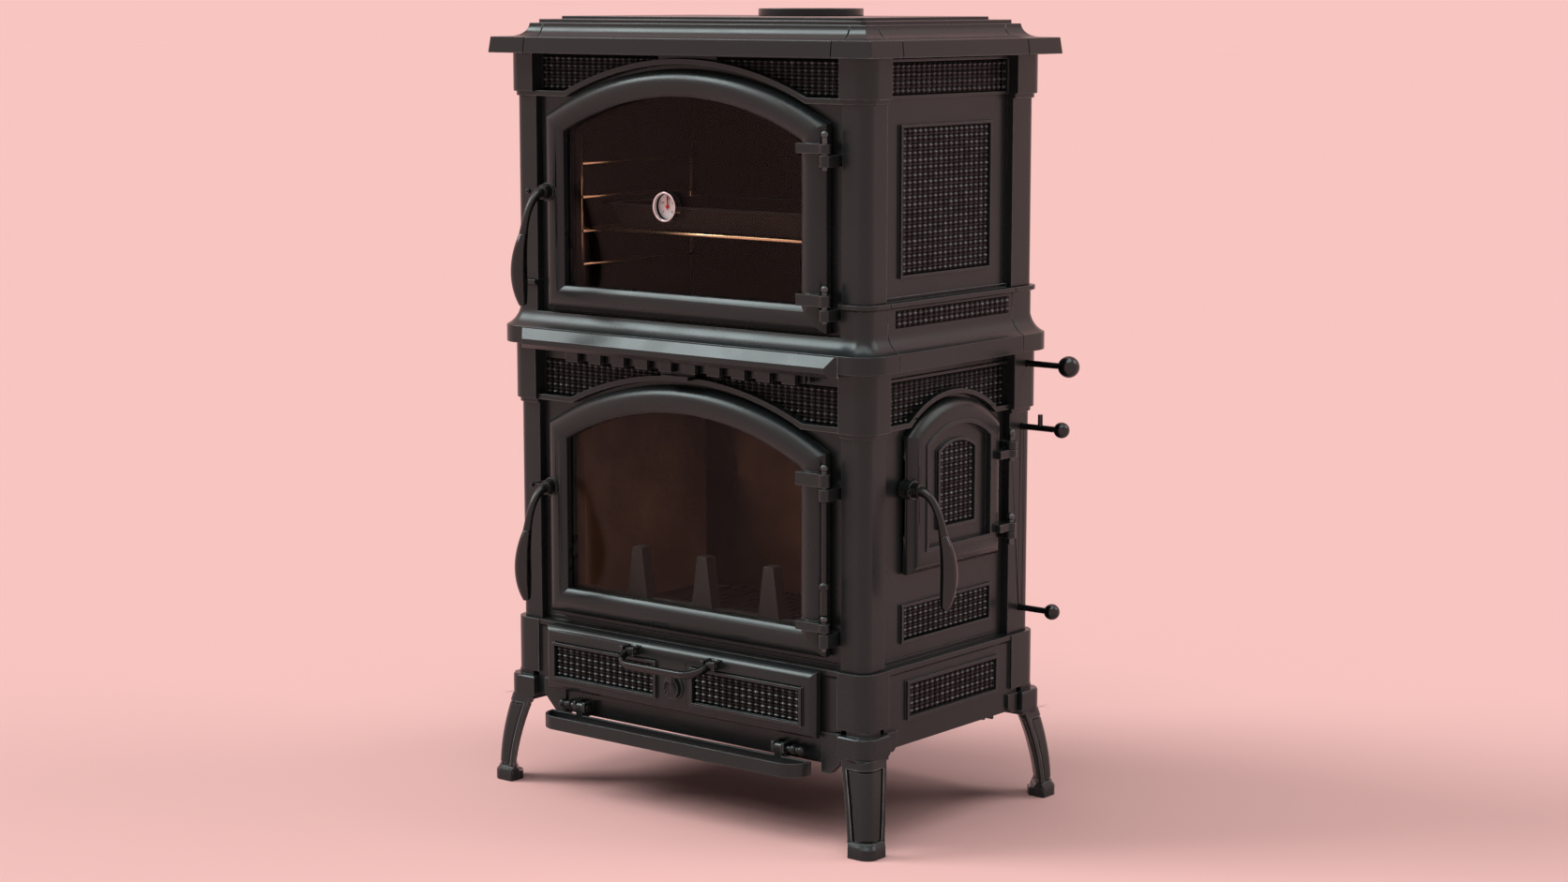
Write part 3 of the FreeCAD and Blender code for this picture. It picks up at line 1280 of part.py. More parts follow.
def make_side_door():
    """Arched door with a crowned rim, a bead inside it and a beaded field on the sunk panel."""
    back = panel_x + side_face
    edge, crown, panel, ridge = back + 7, back + 20, back + 12, back + 22.5
    base, slope, lap = side_door_base, 17, 2
    rim = swept("side_rim_bar", "YZ", side_arch.outline(), "XZ", side_door_middle, [
        (back, base),
        (edge, base, size("side_crown", 23, "crown of the side door's rim")),
        (crown, base + slope),
        (crown, base + side_rim),
        (back, base + side_rim),
    ])
    slab = prism("side_slab", "YZ", back, panel, side_arch.outline(lap - side_rim))
    ring = prism("side_bead", "YZ", back + 1, ridge, side_arch.outline(-side_rim + 1),
                 side_arch.outline(-side_rim - bead))
    field = prism("side_field_bead", "YZ", panel - 1, panel + bead, side_field.outline(),
                  side_field.outline(-bead))
    strap_front, strap_back, strap_start = 103, side_hinge_x + 4, back + 10
    strap_spans = ((457, 470), (576, 589))
    straps = []
    for n, (low, high) in enumerate(strap_spans):
        straps.append(cylinder(f"side_eye_{n}", "Z", eye_radius, (side_hinge_x, side_hinge_y, low), high - low))
        straps.append(box(f"side_strap_{n}", (strap_start, strap_back), (strap_front, side_hinge_y), (low, high)))
    boss_back, boss_front = back + 1, back + 22
    boss = cylinder("side_boss", "X", boss_radius, (boss_back, -side_handle_y, side_handle_z),
                    boss_front - boss_back)
    whole = fused("side_door_whole", [rim, slab, ring, field, boss] + straps)
    bores = [
        cylinder("side_eye_bore", "Z", pin_radius + running_gap, (side_hinge_x, side_hinge_y, base), 200),
        cylinder("side_spindle_bore", "X", spindle_radius + running_gap,
                 (back + 6, -side_handle_y, side_handle_z), 30),
    ]
    finish(cut("side_door", whole, bores), "side_door_frame")


# ---------------------------------------------------------------- ash drawer and rail

ash_rim = size("ash_rim", 24, "width of the ash door's rim")
ash_web = size("ash_web", 36, "half width of the web between the ash door's fields")
ash_field_base = size("ash_field_base", 190, "bottom of the ash door's fields")
ash_field_top = size("ash_field_top", 252, "top of the ash door's fields")
cover_z = size("cover_z", 228, "height of the air cover's pivot")
cover_pin = size("cover_pin", 2, "pivot of the air cover")
bail_pin = size("bail_pin", 3, "pins of the ash drawer's bow handle")
grate_half_x = size("grate_half_x", 150, "half width of the riddling grate")
grate_half_y = size("grate_half_y", 105, "half depth of the riddling grate")
link_half = size("link_half", 6, "half height of the link to the grate")
doc.recompute()


def make_ash_door():
    side_slope, face_slope, slab_sunk = 9, 11, 2
    frame = swept("ash_rim_bar", "XZ", rectangle(-ash_half, ash_half, ash_base, ash_top), "YZ", 0, [
        (side_slope - ash_front, ash_base),
        (-ash_back, ash_base),
        (-ash_back, ash_base + ash_rim),
        (-ash_front, ash_base + ash_rim),
        (-ash_front, ash_base + face_slope, size("ash_crown", 15, "crown of the ash door's rim")),
    ])
    inner_half = ash_half - ash_rim + 1
    inner_span = (ash_base + ash_rim - 1, ash_top - ash_rim + 1)
    slab = box("ash_slab", (-inner_half, inner_half), (slab_sunk - ash_front, -ash_back), inner_span)
    web = box("ash_web_bar", (-ash_web, ash_web), (-ash_front, -ash_back), inner_span)
    field_end = 262
    fields = [
        prism(f"ash_bead_{n}", "XZ", -ash_front - bead, -ash_back,
              rectangle(x0, x1, ash_field_base, ash_field_top),
              rectangle(x0 + bead, x1 - bead, ash_field_base + bead, ash_field_top - bead))
        for n, (x0, x1) in enumerate(((-field_end, -ash_web), (ash_web, field_end)))
    ]
    air_boss_radius, air_boss_z, air_boss_out = 20, 214, 3
    boss = cylinder("air_boss", "Y", air_boss_radius, (0, -ash_front - air_boss_out, air_boss_z), 5)
    lug_half, lug_reach, lug_offset = 3, 7, 11
    lugs = [
        box(f"bail_lug_{name}_{n}", (x - lug_half, x + lug_half), (-bail_y - lug_reach, -ash_front + 2),
            (bail_z - lug_reach, bail_z + lug_reach))
        for name, flip in sides()
        for n, x in enumerate((flip * bail_x - lug_offset, flip * bail_x + lug_offset))
    ]
    whole = fused("ash_whole", [frame, slab, web, boss] + fields + lugs)
    line_start, line_width, line_depth = 24, 1.5, 1.5
    bores = [
        cylinder("bail_bore", "X", bail_pin + running_gap, (-bail_x - 20, -bail_y, bail_z), 2 * bail_x + 40),
        cylinder("cover_bore", "Y", cover_pin + running_gap, (0, -ash_front - 8, cover_z), 20),
        box("cover_line", (line_start, line_start + line_width), (-ash_front - 1, line_depth - ash_front),
            (ash_field_base - 4, ash_field_top + 4)),
    ]
    finish(cut("ash", whole, bores), "ash_door")


def make_ash_pan():
    half, back, wall, low, high = 258, 150, 3, 186.5, 262
    outside = box("pan_outside", (-half, half), (-ash_back, back), (low, high))
    inside = box("pan_inside", (wall - half, half - wall), (wall - ash_back, back - wall), (low + wall, high + wall))
    finish(cut("pan", outside, [inside]), "ash_pan")


def make_ash_bail():
    """Bow handle of the ash drawer, bent from a flat bar, with a short pin in each pair of lugs."""
    reach, bend, bar_half, bar_depth, droop = 40, 32, 3.5, 5.5, 20
    bow = swept("bail_bow", "XY", [
        (-bail_x, 0), (-bail_x, bend - reach, bend), (bend - bail_x, -reach), (bail_x - bend, -reach, bend),
        (bail_x, bend - reach), (bail_x, 0),
    ], "XZ", 0, rectangle(-bail_x - bar_half, bar_half - bail_x, -bar_depth, bar_depth), closed=False)
    eye, pin_half = 6, 15
    pins = [cylinder(f"bail_pin_{name}", "X", bail_pin, (flip * bail_x - pin_half, 0, 0), 2 * pin_half)
            for name, flip in sides()]
    eyes = [cylinder(f"bail_eye_{name}", "X", eye, (flip * bail_x - eye, 0, 0), 2 * eye) for name, flip in sides()]
    whole = fused("bail", [bow] + pins + eyes)
    finish(whole, "ash_bail", 0, -bail_y, bail_z)
    whole.Placement.Rotation = Rotation(Vector(1, 0, 0), droop)


def make_air_cover():
    disc_radius, disc_z, disc_out, thick = 15, 212, 9, 5
    disc = cylinder("cover_disc", "Y", disc_radius, (0, -ash_front - disc_out, disc_z), thick)
    neck_half, neck_base, tip_half = 12, disc_z + 6, 5
    neck = prism("cover_neck", "XZ", -ash_front - disc_out, thick - ash_front - disc_out, [
        (-neck_half, neck_base), (neck_half, neck_base), (tip_half, cover_z + 5), (-tip_half, cover_z + 5),
    ])
    pivot_out, pivot_length, head_radius, head_thick = 12, 18, 5, 4
    pivot = cylinder("cover_pivot", "Y", cover_pin, (0, -ash_front - pivot_out, cover_z), pivot_length)
    head = cylinder("cover_head", "Y", head_radius, (0, -ash_front - pivot_out, cover_z), head_thick)
    finish(fused("cover", [disc, neck, pivot, head]), "air_cover")


def make_front_rail():
    """Flat bar bent round three sides, with a straight bar at the back that carries the hinges."""
    bend = 36
    top = rail_base + rail_height
    bow = swept("rail_bow", "XY", [
        (-rail_half, -rail_back), (-rail_half, bend - rail_reach, bend), (bend - rail_half, -rail_reach),
        (rail_half - bend, -rail_reach, bend), (rail_half, bend - rail_reach), (rail_half, -rail_back),
    ], "XZ", -rail_back, rectangle(-rail_half, rail_bar - rail_half, rail_base, top), closed=False)
    rear = (-rail_back - rail_bar, -rail_back)
    bar = box("rail_bar_back", (-rail_half, rail_half), rear, (rail_base, top))
    eye_out, tail_half, tail_lap, pin_half, pin_shift = 8, 7, 8, 29, 14
    ball, first_ball, second_ball = 7.5, 27, 42
    eyes = []
    for name, flip in sides():
        x = flip * rail_hinge_x
        eyes.append(cylinder(f"rail_eye_{name}", "X", eye_out, (x - tail_half, -rail_hinge_y, rail_hinge_z),
                             2 * tail_half))
        eyes.append(box(f"rail_tail_{name}", (x - tail_half, x + tail_half), rear, (top - tail_lap, rail_hinge_z)))
        eyes.append(cylinder(f"rail_pin_{name}", "X", pin_radius,
                             (x + flip * pin_shift - pin_half, -rail_hinge_y, rail_hinge_z), 2 * pin_half))
        for n, out in enumerate((first_ball, second_ball)):
            eyes.append(sphere(f"rail_ball_{name}_{n}", ball, (x + flip * out, -rail_hinge_y, rail_hinge_z)))
    finish(fused("rail", [bow, bar] + eyes), "front_rail")


def make_air_slider():
    strip_half, tab_half, thick, play = 250, 28, 3.5, 16
    back, low, high, tab_low = -panel_y - play, 720, 733, 708
    front = back - thick
    strip = box("slider_strip", (-strip_half, strip_half), (front, back), (low, high))
    drop = box("slider_drop", (-tab_half, tab_half), (front, back - 0.5), (tab_low, low + 1))
    tab = box("slider_tab", (-tab_half, tab_half), (back - 20, back - 0.5), (tab_low, tab_low + 6))
    finish(fused("slider", [strip, drop, tab]), "air_slider")


# ---------------------------------------------------------------- levers and grate

def lever_pieces(name, inner, ball_x, ball_radius):
    level = lever_levels[name]
    return [
        cylinder(f"{name}_rod", "X", lever_radius, (inner, lever_y, level), ball_x - inner),
        sphere(f"{name}_ball", ball_radius, (ball_x, lever_y, level)),
    ]


def make_levers():
    inner, blade_end, blade_half, blade_thick = 150, 275, 7, 4
    level = lever_levels["damper"]
    blade = box("damper_blade", (inner, blade_end), (lever_y - blade_half, lever_y + blade_half),
                (level - blade_thick / 2, level + blade_thick / 2))
    finish(fused("damper", lever_pieces("damper", inner, damper_ball, large_ball) + [blade]), "damper_lever")
    level = lever_levels["air"]
    shutter_end, shutter_half, stub_x, stub_radius, stub_height = 290, 20, 398, 4, 22
    shutter = box("air_shutter", (inner, shutter_end), (lever_y - 2, lever_y + 2),
                  (level - shutter_half, level + shutter_half))
    stub = cylinder("air_stub", "Z", stub_radius, (stub_x, lever_y, level), stub_height)
    finish(fused("air", lever_pieces("air", inner, air_ball, small_ball) + [shutter, stub]), "air_lever")
    level = lever_levels["grate"]
    link_start, link_end = 45, 65
    link = box("grate_link", (link_start, link_end), (grate_half_y + 1, lever_y),
               (level - link_half, level + link_half))
    finish(fused("riddling", lever_pieces("grate", link_start, grate_ball, small_ball) + [link]), "grate_lever")


def make_fire_grate():
    """Riddling grate: a rim, cross bars and the upstand that the link pushes on."""
    gap, thick, rim_width = 0.5, 18, 12
    low = deck_top + gap
    high = low + thick
    inner_x, inner_y = grate_half_x - rim_width, grate_half_y - rim_width
    rim = prism("grate_rim", "XY", low, high, rectangle(-grate_half_x, grate_half_x, -grate_half_y, grate_half_y),
                rectangle(-inner_x, inner_x, -inner_y, inner_y))
    bar_half, last_bar, pitch = 5, 120, 20
    bars = [box(f"grate_bar_{n}", (x - bar_half, x + bar_half), (-inner_y - 2, inner_y + 2), (low, high))
            for n, x in enumerate(range(-last_bar, last_bar + 1, pitch))]
    upstand_start, upstand_end = 40, 70
    upstand = box("grate_upstand", (upstand_start, upstand_end), (inner_y, grate_half_y + 1),
                  (low, lever_levels["grate"] + link_half))
    finish(fused("grate", [rim, upstand] + bars), "fire_grate")


# ---------------------------------------------------------------- the whole stove

make_base_frame()
for corner_name, sign_x, sign_y in corners():
    make_leg("leg_" + corner_name, sign_x, sign_y)
    make_post("lower", corner_name, sign_x, sign_y, deck_level, lower_band_level, waist_level)
    make_post("upper", corner_name, sign_x, sign_y, ledge_level, upper_band_level, lip_level)
make_tie_rods()
make_lower_front_frame()
make_upper_front_frame()
for side_name, sign_x in sides():
    make_upper_side_panel(side_name, sign_x)
make_lower_left_panel()
make_lower_right_panel()
make_back_panel("lower", deck_top, waist_level, 330, 690)
make_back_panel("upper", waist_level, lip_level, 880, 1170)
make_waist_frame()
make_waist_rail()
make_top_plate()
make_flue_collar()
make_oven_box()
make_rack_supports()
make_oven_rack()
make_baking_tray()
make_firebricks()
make_baffle_plate()
make_log_guard()
oven_leaves = ((842, 860), (1072, 1087))
fire_leaves = ((342, 356), (567, 588))
make_glazed_door("oven", oven_arch, oven_leaves, oven_handle_z)
make_glazed_door("fire", fire_arch, fire_leaves, fire_handle_z)
make_handle("oven", -handle_x, -door_front - boss_stand, oven_handle_z, 0)
make_handle("fire", -handle_x, -door_front - boss_stand, fire_handle_z, 0)
make_side_door()
make_handle("side", panel_x + side_face + 22, -side_handle_y, side_handle_z, 90)
make_thermometer()
make_hinge_pins()
make_door_spring()
make_ash_door()
make_ash_pan()
make_ash_bail()
make_air_cover()
make_front_rail()
make_air_slider()
make_levers()
make_fire_grate()
doc.recompute()

faults = [obj.Name for obj in doc.Objects if "Invalid" in obj.State or "Error" in obj.State]
faults += [piece.Label for piece in sub_parts if piece.Shape.isNull() or not piece.Shape.isValid()]
if faults:
    raise RuntimeError("failed objects: " + ", ".join(faults))
os.makedirs("parts", exist_ok=True)
for piece in sub_parts:
    piece.Shape.exportStep(os.path.join("parts", piece.Label + ".step"))
print(len(sub_parts), "sub-parts written")
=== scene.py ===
"""Looks of a free-standing wood-burning cast-iron stove with an oven above the firebox.
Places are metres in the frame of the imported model: +Z up, the front faces -Y."""

import math

import bmesh
import bpy
from mathutils import Matrix, Vector, noise


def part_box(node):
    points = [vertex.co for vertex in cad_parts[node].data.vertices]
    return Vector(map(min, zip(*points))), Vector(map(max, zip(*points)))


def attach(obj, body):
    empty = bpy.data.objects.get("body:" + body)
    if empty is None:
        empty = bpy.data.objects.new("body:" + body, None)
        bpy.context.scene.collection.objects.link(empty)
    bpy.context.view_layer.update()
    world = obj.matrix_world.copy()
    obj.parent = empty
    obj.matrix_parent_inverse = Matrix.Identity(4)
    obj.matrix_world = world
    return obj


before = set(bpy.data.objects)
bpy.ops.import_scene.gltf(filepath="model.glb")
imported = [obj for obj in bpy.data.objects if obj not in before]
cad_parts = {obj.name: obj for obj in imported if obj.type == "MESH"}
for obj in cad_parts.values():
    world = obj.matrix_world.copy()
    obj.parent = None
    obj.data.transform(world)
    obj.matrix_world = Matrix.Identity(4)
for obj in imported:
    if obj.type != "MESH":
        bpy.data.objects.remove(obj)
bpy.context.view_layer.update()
mm = 0.001

# ------------------------------------------------------------------ base
# The stove stands on one open casting: four walls, corner blocks and the hearth plate.
# It is sand-cast grey iron under a thin coat of black stove paint, rubbed bare a little
# along its edges, where a highlight is also painted; shade is painted into its hollows.
# A shallow woven field is cast into each side.

post_left, post_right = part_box("lower_post_rear_left"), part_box("lower_post_rear_right")
post_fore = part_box("lower_post_front_left")
middle = Vector((
    (post_left[0].x + post_right[1].x) / 2,
    (post_fore[0].y + post_left[1].y) / 2,
    0,
))


def at(x, y, z):
    """Point given in millimetres from the centre of the stove's body and the floor."""
    return middle + Vector((x, y, z)) * mm


def new_group(name, inputs, outputs):
    """Empty shader node group with named inputs (name, kind, value) and outputs."""
    tree = bpy.data.node_groups.new(name, "ShaderNodeTree")
    for label, kind, value in inputs:
        socket = tree.interface.new_socket(label, in_out="INPUT", socket_type="NodeSocket" + kind)
        socket.default_value = value
    for label, kind in outputs:
        tree.interface.new_socket(label, in_out="OUTPUT", socket_type="NodeSocket" + kind)
    return tree, tree.nodes.new("NodeGroupInput"), tree.nodes.new("NodeGroupOutput")


def add(tree, kind, links=None, **values):
    """New node whose properties are values and whose inputs are linked or set by links."""
    node = tree.nodes.new("ShaderNode" + kind)
    for name, value in values.items():
        setattr(node, name, value)
    for socket, source in (links or {}).items():
        if isinstance(source, bpy.types.NodeSocket):
            tree.links.new(source, node.inputs[socket])
        else:
            node.inputs[socket].default_value = source
    return node


def blend_colour(tree, mask, low, high, mode="MIX"):
    """Mix of two colours by a mask; returns the colour output."""
    node = add(tree, "Mix", {0: mask, 6: low, 7: high}, data_type="RGBA", blend_type=mode)
    return node.outputs[2]


def ramp(tree, source, low, high, out_low=0.0, out_high=1.0):
    """Map a value from one range to another, clamped; returns the value output."""
    node = add(tree, "MapRange", {0: source, 1: low, 2: high, 3: out_low, 4: out_high})
    return node.outputs[0]


def make_sand_grain():
    """Grain of a sand casting: fine pits, a coarser orange peel and broad mottling."""
    tree, inside, outside = new_group(
        "sand_grain",
        [("Grain Size", "Float", 0.9 * mm), ("Peel Size", "Float", 5 * mm)],
        [("Height", "Float"), ("Mottle", "Float"), ("Speckle", "Float")],
    )
    place = add(tree, "TexCoord").outputs["Object"]
    fine = add(tree, "Math", {0: 1.0, 1: inside.outputs["Grain Size"]}, operation="DIVIDE").outputs[0]
    coarse = add(tree, "Math", {0: 1.0, 1: inside.outputs["Peel Size"]}, operation="DIVIDE").outputs[0]
    grain = add(tree, "TexNoise", {"Vector": place, "Scale": fine, "Detail": 3.0, "Roughness": 0.6})
    peel = add(tree, "TexNoise", {"Vector": place, "Scale": coarse, "Detail": 2.0})
    broad = add(tree, "TexNoise", {"Vector": place, "Scale": 9.0, "Detail": 4.0, "Distortion": 0.6})
    height = add(tree, "Math", {0: peel.outputs[0], 1: 1.6, 2: grain.outputs[0]},
                 operation="MULTIPLY_ADD")
    tree.links.new(height.outputs[0], outside.inputs["Height"])
    tree.links.new(ramp(tree, broad.outputs[0], 0.3, 0.7), outside.inputs["Mottle"])
    tree.links.new(ramp(tree, grain.outputs[0], 0.45, 0.75), outside.inputs["Speckle"])
    return tree


def make_wear_and_painted_light():
    """Masks of a casting: along outer edges, where paint is rubbed off and a highlight is painted; in
    corners and pits, where shade is painted.
    """
    tree, inside, outside = new_group(
        "wear_and_painted_light", [("Reach", "Float", 2.5 * mm)], [("Worn And Lit", "Float"), ("Hollow Shade", "Float")])
    reach = inside.outputs["Reach"]
    deep = add(tree, "Math", {0: reach, 1: 2.4}, operation="MULTIPLY").outputs[0]
    ridge = add(tree, "AmbientOcclusion", {"Distance": reach}, samples=6, inside=True, only_local=True)
    pit = add(tree, "AmbientOcclusion", {"Distance": deep}, samples=6)
    place = add(tree, "TexCoord").outputs["Object"]
    patches = add(tree, "TexNoise", {"Vector": place, "Scale": 55.0, "Detail": 4.0})
    # Convex edges: paint rubbed off there, and a painted highlight.
    worn_and_lit = ramp(tree, ridge.outputs["AO"], 0.82, 0.45)
    patchy = ramp(tree, patches.outputs[0], 0.3, 0.6, 0.35, 1.0)
    rubbed_and_lit = add(tree, "Math", {0: worn_and_lit, 1: patchy}, operation="MULTIPLY").outputs[0]
    tree.links.new(rubbed_and_lit, outside.inputs["Worn And Lit"])
    # Painted shade: corners and pits that occlusion finds grow darker.
    tree.links.new(ramp(tree, pit.outputs["AO"], 0.75, 0.15), outside.inputs["Hollow Shade"])
    return tree


def place_group(tree, group, **values):
    node = tree.nodes.new("ShaderNodeGroup")
    node.node_tree = group
    for name, value in values.items():
        node.inputs[name.replace("_", " ").title()].default_value = value
    return node


def new_material(name):
    """Empty node material; returns the material, its tree and its Principled shader."""
    material = bpy.data.materials.new(name)
    material.use_nodes = True
    shader = material.node_tree.nodes["Principled BSDF"]
    return material, material.node_tree, shader


def shade(colour, factor=1.0):
    """Colour made darker or lighter by a factor, with the alpha that a socket wants."""
    return tuple(factor * part for part in colour) + (1,)


sand_grain = make_sand_grain()
wear_and_painted_light = make_wear_and_painted_light()
cool_sheen = (0.78, 1.0, 1.0, 1)
iron_gloss = 0.42


def painted_iron(name, paint, rubbed_and_lit, shine=0.28, grain=0.9, bump=0.09, wear=2.2, woven=False):
    """Black stove paint on a sand casting, brighter along the edges where it is rubbed thin and where a
    highlight is painted, and darker in its hollows by painted shade.
    """
    material, tree, shader = new_material(name)
    casting = place_group(tree, sand_grain, grain_size=grain * mm)
    edges = place_group(tree, wear_and_painted_light, reach=wear * mm)
    coat = blend_colour(tree, casting.outputs["Mottle"], shade(paint, 0.7), shade(paint))
    dusty = blend_colour(tree, casting.outputs["Speckle"], coat, shade(paint, 1.3))
    # Painted shade: hollows darken to a fifth of the paint's colour.
    shaded_hollows = blend_colour(tree, edges.outputs["Hollow Shade"], dusty, shade(paint, 0.2))
    worn_and_lit = edges.outputs["Worn And Lit"]
    if woven:
        # Painted shade in the weave's pits, which also lose most of their gloss, and a painted highlight
        # on the knot tops.
        depth = add(tree, "Attribute", attribute_name="relief").outputs["Fac"]
        pit_shade = ramp(tree, depth, 0.55, 0.2)
        shaded_hollows = blend_colour(tree, pit_shade, shaded_hollows, shade(paint, 0.05))
        worn_and_lit = ramp(tree, depth, 0.55, 0.95)
        gloss_by_depth = ramp(tree, depth, 0.15, 0.6, 0.03, iron_gloss)
        tree.links.new(gloss_by_depth, shader.inputs["Specular IOR Level"])
    # Painted highlight, in the grey of rubbed bare iron, along edges and on knot tops.
    colour = blend_colour(tree, worn_and_lit, shaded_hollows, shade(rubbed_and_lit))
    tree.links.new(colour, shader.inputs["Base Color"])
    dull = ramp(tree, casting.outputs["Mottle"], 0, 1, shine + 0.05, shine - 0.04)
    rough = add(tree, "Math", {0: worn_and_lit, 1: -0.12, 2: dull}, operation="MULTIPLY_ADD")
    tree.links.new(rough.outputs[0], shader.inputs["Roughness"])
    relief = add(tree, "Bump", {"Strength": bump, "Distance": 0.4 * mm,
                                "Height": casting.outputs["Height"]})
    tree.links.new(relief.outputs[0], shader.inputs["Normal"])
    if not woven:
        shader.inputs["Specular IOR Level"].default_value = iron_gloss
    shader.inputs["Specular Tint"].default_value = cool_sheen
    return material


paint_black = (0.0145, 0.0195, 0.020)
# Grey of bare iron where the paint is rubbed off, also the colour of the painted highlights.
rubbed_and_lit_grey = (0.23, 0.255, 0.262)
iron = painted_iron("black_painted_iron", paint_black, rubbed_and_lit_grey)
woven_iron = painted_iron("woven_painted_iron", paint_black, rubbed_and_lit_grey, woven=True)


def dress(material, *names, edge=1.0, steps=2):
    """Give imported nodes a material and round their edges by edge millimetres."""
    for name in names:
        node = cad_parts[name]
        mesh = node.data
        if "custom_normal" in mesh.attributes:
            mesh.attributes.remove(mesh.attributes["custom_normal"])
        mesh.shade_smooth()
        node.data.materials.clear()
        node.data.materials.append(material)
        weld = node.modifiers.new("weld", "WELD")
        weld.merge_threshold = 0.005 * mm
        if edge:
            soft = node.modifiers.new("edges", "BEVEL")
            soft.width = edge * mm
            soft.segments = steps
            soft.limit_method = "ANGLE"
            soft.angle_limit = math.radians(32)
            soft.use_clamp_overlap = False
            soft.harden_normals = True


weave_pitch = (13.4, 11.2)
weave_samples = 8
weave_height = 3.6


def weave_relief(u, v):
    """Height, from 0 to 1, of the cast weave at a place counted in cells: knots on a fine net."""
    across, along = u % 1, v % 1
    net = 0.5 + 0.5 * max(math.cos(4 * math.pi * across), math.cos(4 * math.pi * along))
    knot = math.exp(-((across - 0.5) / 0.30) ** 2 - ((along - 0.5) / 0.17) ** 2)
    groove = min(1.0, 0.2 + min(across, 1 - across) / 0.16)
    wander = 0.84 + 0.32 * noise.noise(Vector((math.floor(u) * 0.7, math.floor(v) * 0.7, 3.1)))
    return (0.5 * net + 0.5 * knot) * groove * wander


def woven_field(name, body, corner, right, up, width, height, inside=None):
    """Cast basket weave over a field that starts at corner and spans width by height mm."""
    right, up = Vector(right), Vector(up)
    outward = right.cross(up)
    columns = max(1, round(width / weave_pitch[0]))
    rows = max(1, round(height / weave_pitch[1]))
    count_u, count_v = columns * weave_samples, rows * weave_samples
    step_u, step_v = width / count_u, height / count_v
    form = bmesh.new()
    relief_of = form.verts.layers.float.new("relief")
    grid = {}

    def vertex(i, j):
        if (i, j) not in grid:
            on_rim = i in (0, count_u) or j in (0, count_v)
            relief = 0 if on_rim else weave_relief(i / weave_samples, j / weave_samples)
            lift = (0.15 + weave_height * relief) * mm
            place = corner + (right * i * step_u + up * j * step_v) * mm
            grid[i, j] = form.verts.new(place + outward * lift)
            grid[i, j][relief_of] = relief
        return grid[i, j]

    for i in range(count_u):
        for j in range(count_v):
            if inside is None or inside((i + 0.5) * step_u, (j + 0.5) * step_v):
                form.faces.new([vertex(i, j), vertex(i + 1, j), vertex(i + 1, j + 1), vertex(i, j + 1)])
    rim = [edge for edge in form.edges if edge.is_boundary]
    skirt = bmesh.ops.extrude_edge_only(form, edges=rim)["geom"]
    for vert in (item for item in skirt if isinstance(item, bmesh.types.BMVert)):
        vert.co -= outward * ((vert.co - corner).dot(outward) + 0.6 * mm)
    bmesh.ops.holes_fill(form, edges=[edge for edge in form.edges if edge.is_boundary])
    bmesh.ops.recalc_face_normals(form, faces=form.faces)
    mesh = bpy.data.meshes.new(name)
    form.to_mesh(mesh)
    form.free()
    mesh.shade_smooth()
    mesh.set_sharp_from_angle(angle=math.radians(60))
    piece = bpy.data.objects.new(name, mesh)
    bpy.context.scene.collection.objects.link(piece)
    mesh.materials.append(woven_iron)
    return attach(piece, body)


def side_weave(name, body, side, x, low_y, high_y, low_z, high_z, inside=None):
    """Woven field on a side face; side is 1 on the right and -1 on the left."""
    start = low_y if side > 0 else high_y
    return woven_field(name, body, at(side * x, start, low_z), (0, side, 0), (0, 0, 1),
                       high_y - low_y, high_z - low_z, inside)


def front_weave(name, body, y, low_x, high_x, low_z, high_z, inside=None):
    """Woven field on a face that looks forward."""
    return woven_field(name, body, at(low_x, y, low_z), (1, 0, 0), (0, 0, 1),
                       high_x - low_x, high_z - low_z, inside)


dress(iron, "base_frame")
base_side, base_field = 366, (-117, 114, 199, 248)
for label, side in (("left", -1), ("right", 1)):
    side_weave(f"base_weave_{label}", "stove_body", side, base_side, *base_field)

# ------------------------------------------------------------------ legs
# Four splayed legs of the same iron, each a shell whose collar takes a corner of the
# base. Bolts with wing nuts hold them, so that they come off for carrying the stove.

dress(iron, *[f"leg_{end}_{hand}" for end in ("front", "rear") for hand in ("left", "right")])


def plain_steel(name, colour, roughness, streak=0.0, metallic=1.0, specular=0.5):
    """Drawn or rolled steel with faint colour changes and fine marks."""
    material, tree, shader = new_material(name)
    casting = place_group(tree, sand_grain, grain_size=0.5 * mm, peel_size=12 * mm)
    tone = blend_colour(tree, casting.outputs["Mottle"], shade(colour, 0.75), shade(colour))
    tree.links.new(tone, shader.inputs["Base Color"])
    rough = ramp(tree, casting.outputs["Mottle"], 0, 1, roughness + 0.08, roughness - 0.03)
    tree.links.new(rough, shader.inputs["Roughness"])
    relief = add(tree, "Bump", {"Strength": 0.05 + streak, "Distance": 0.2 * mm,
                                "Height": casting.outputs["Height"]})
    tree.links.new(relief.outputs[0], shader.inputs["Normal"])
    shader.inputs["Metallic"].default_value = metallic
    shader.inputs["Specular IOR Level"].default_value = specular
    shader.inputs["Specular Tint"].default_value = cool_sheen
    return material


dark_steel = plain_steel("dark_steel", (0.095, 0.12, 0.125), 0.32)
black_steel = plain_steel("black_lacquered_steel", (0.006, 0.007, 0.0075), 0.24, metallic=0.0)
dress(dark_steel, "tie_rods_and_leg_bolts", edge=0.6)

# ------------------------------------------------------------------ firebox casing
# Four corner posts with a raised band at their heads, and between them the front frame
# round the fire door, plates at the sides and a plate at the back. Mouldings and woven
# fields are cast in one piece with them.

corners = [f"{end}_{hand}" for end in ("front", "rear") for hand in ("left", "right")]
dress(iron, *[f"lower_post_{corner}" for corner in corners])
dress(iron, "lower_front_frame", "lower_left_panel", "lower_right_panel", "lower_back_panel")


def under_arch(middle_u, radius, centre_v):
    """Test for places outside a moulding's circle, for a field above an arch."""
    return lambda u, v: math.hypot(u - middle_u, v - centre_v) > radius


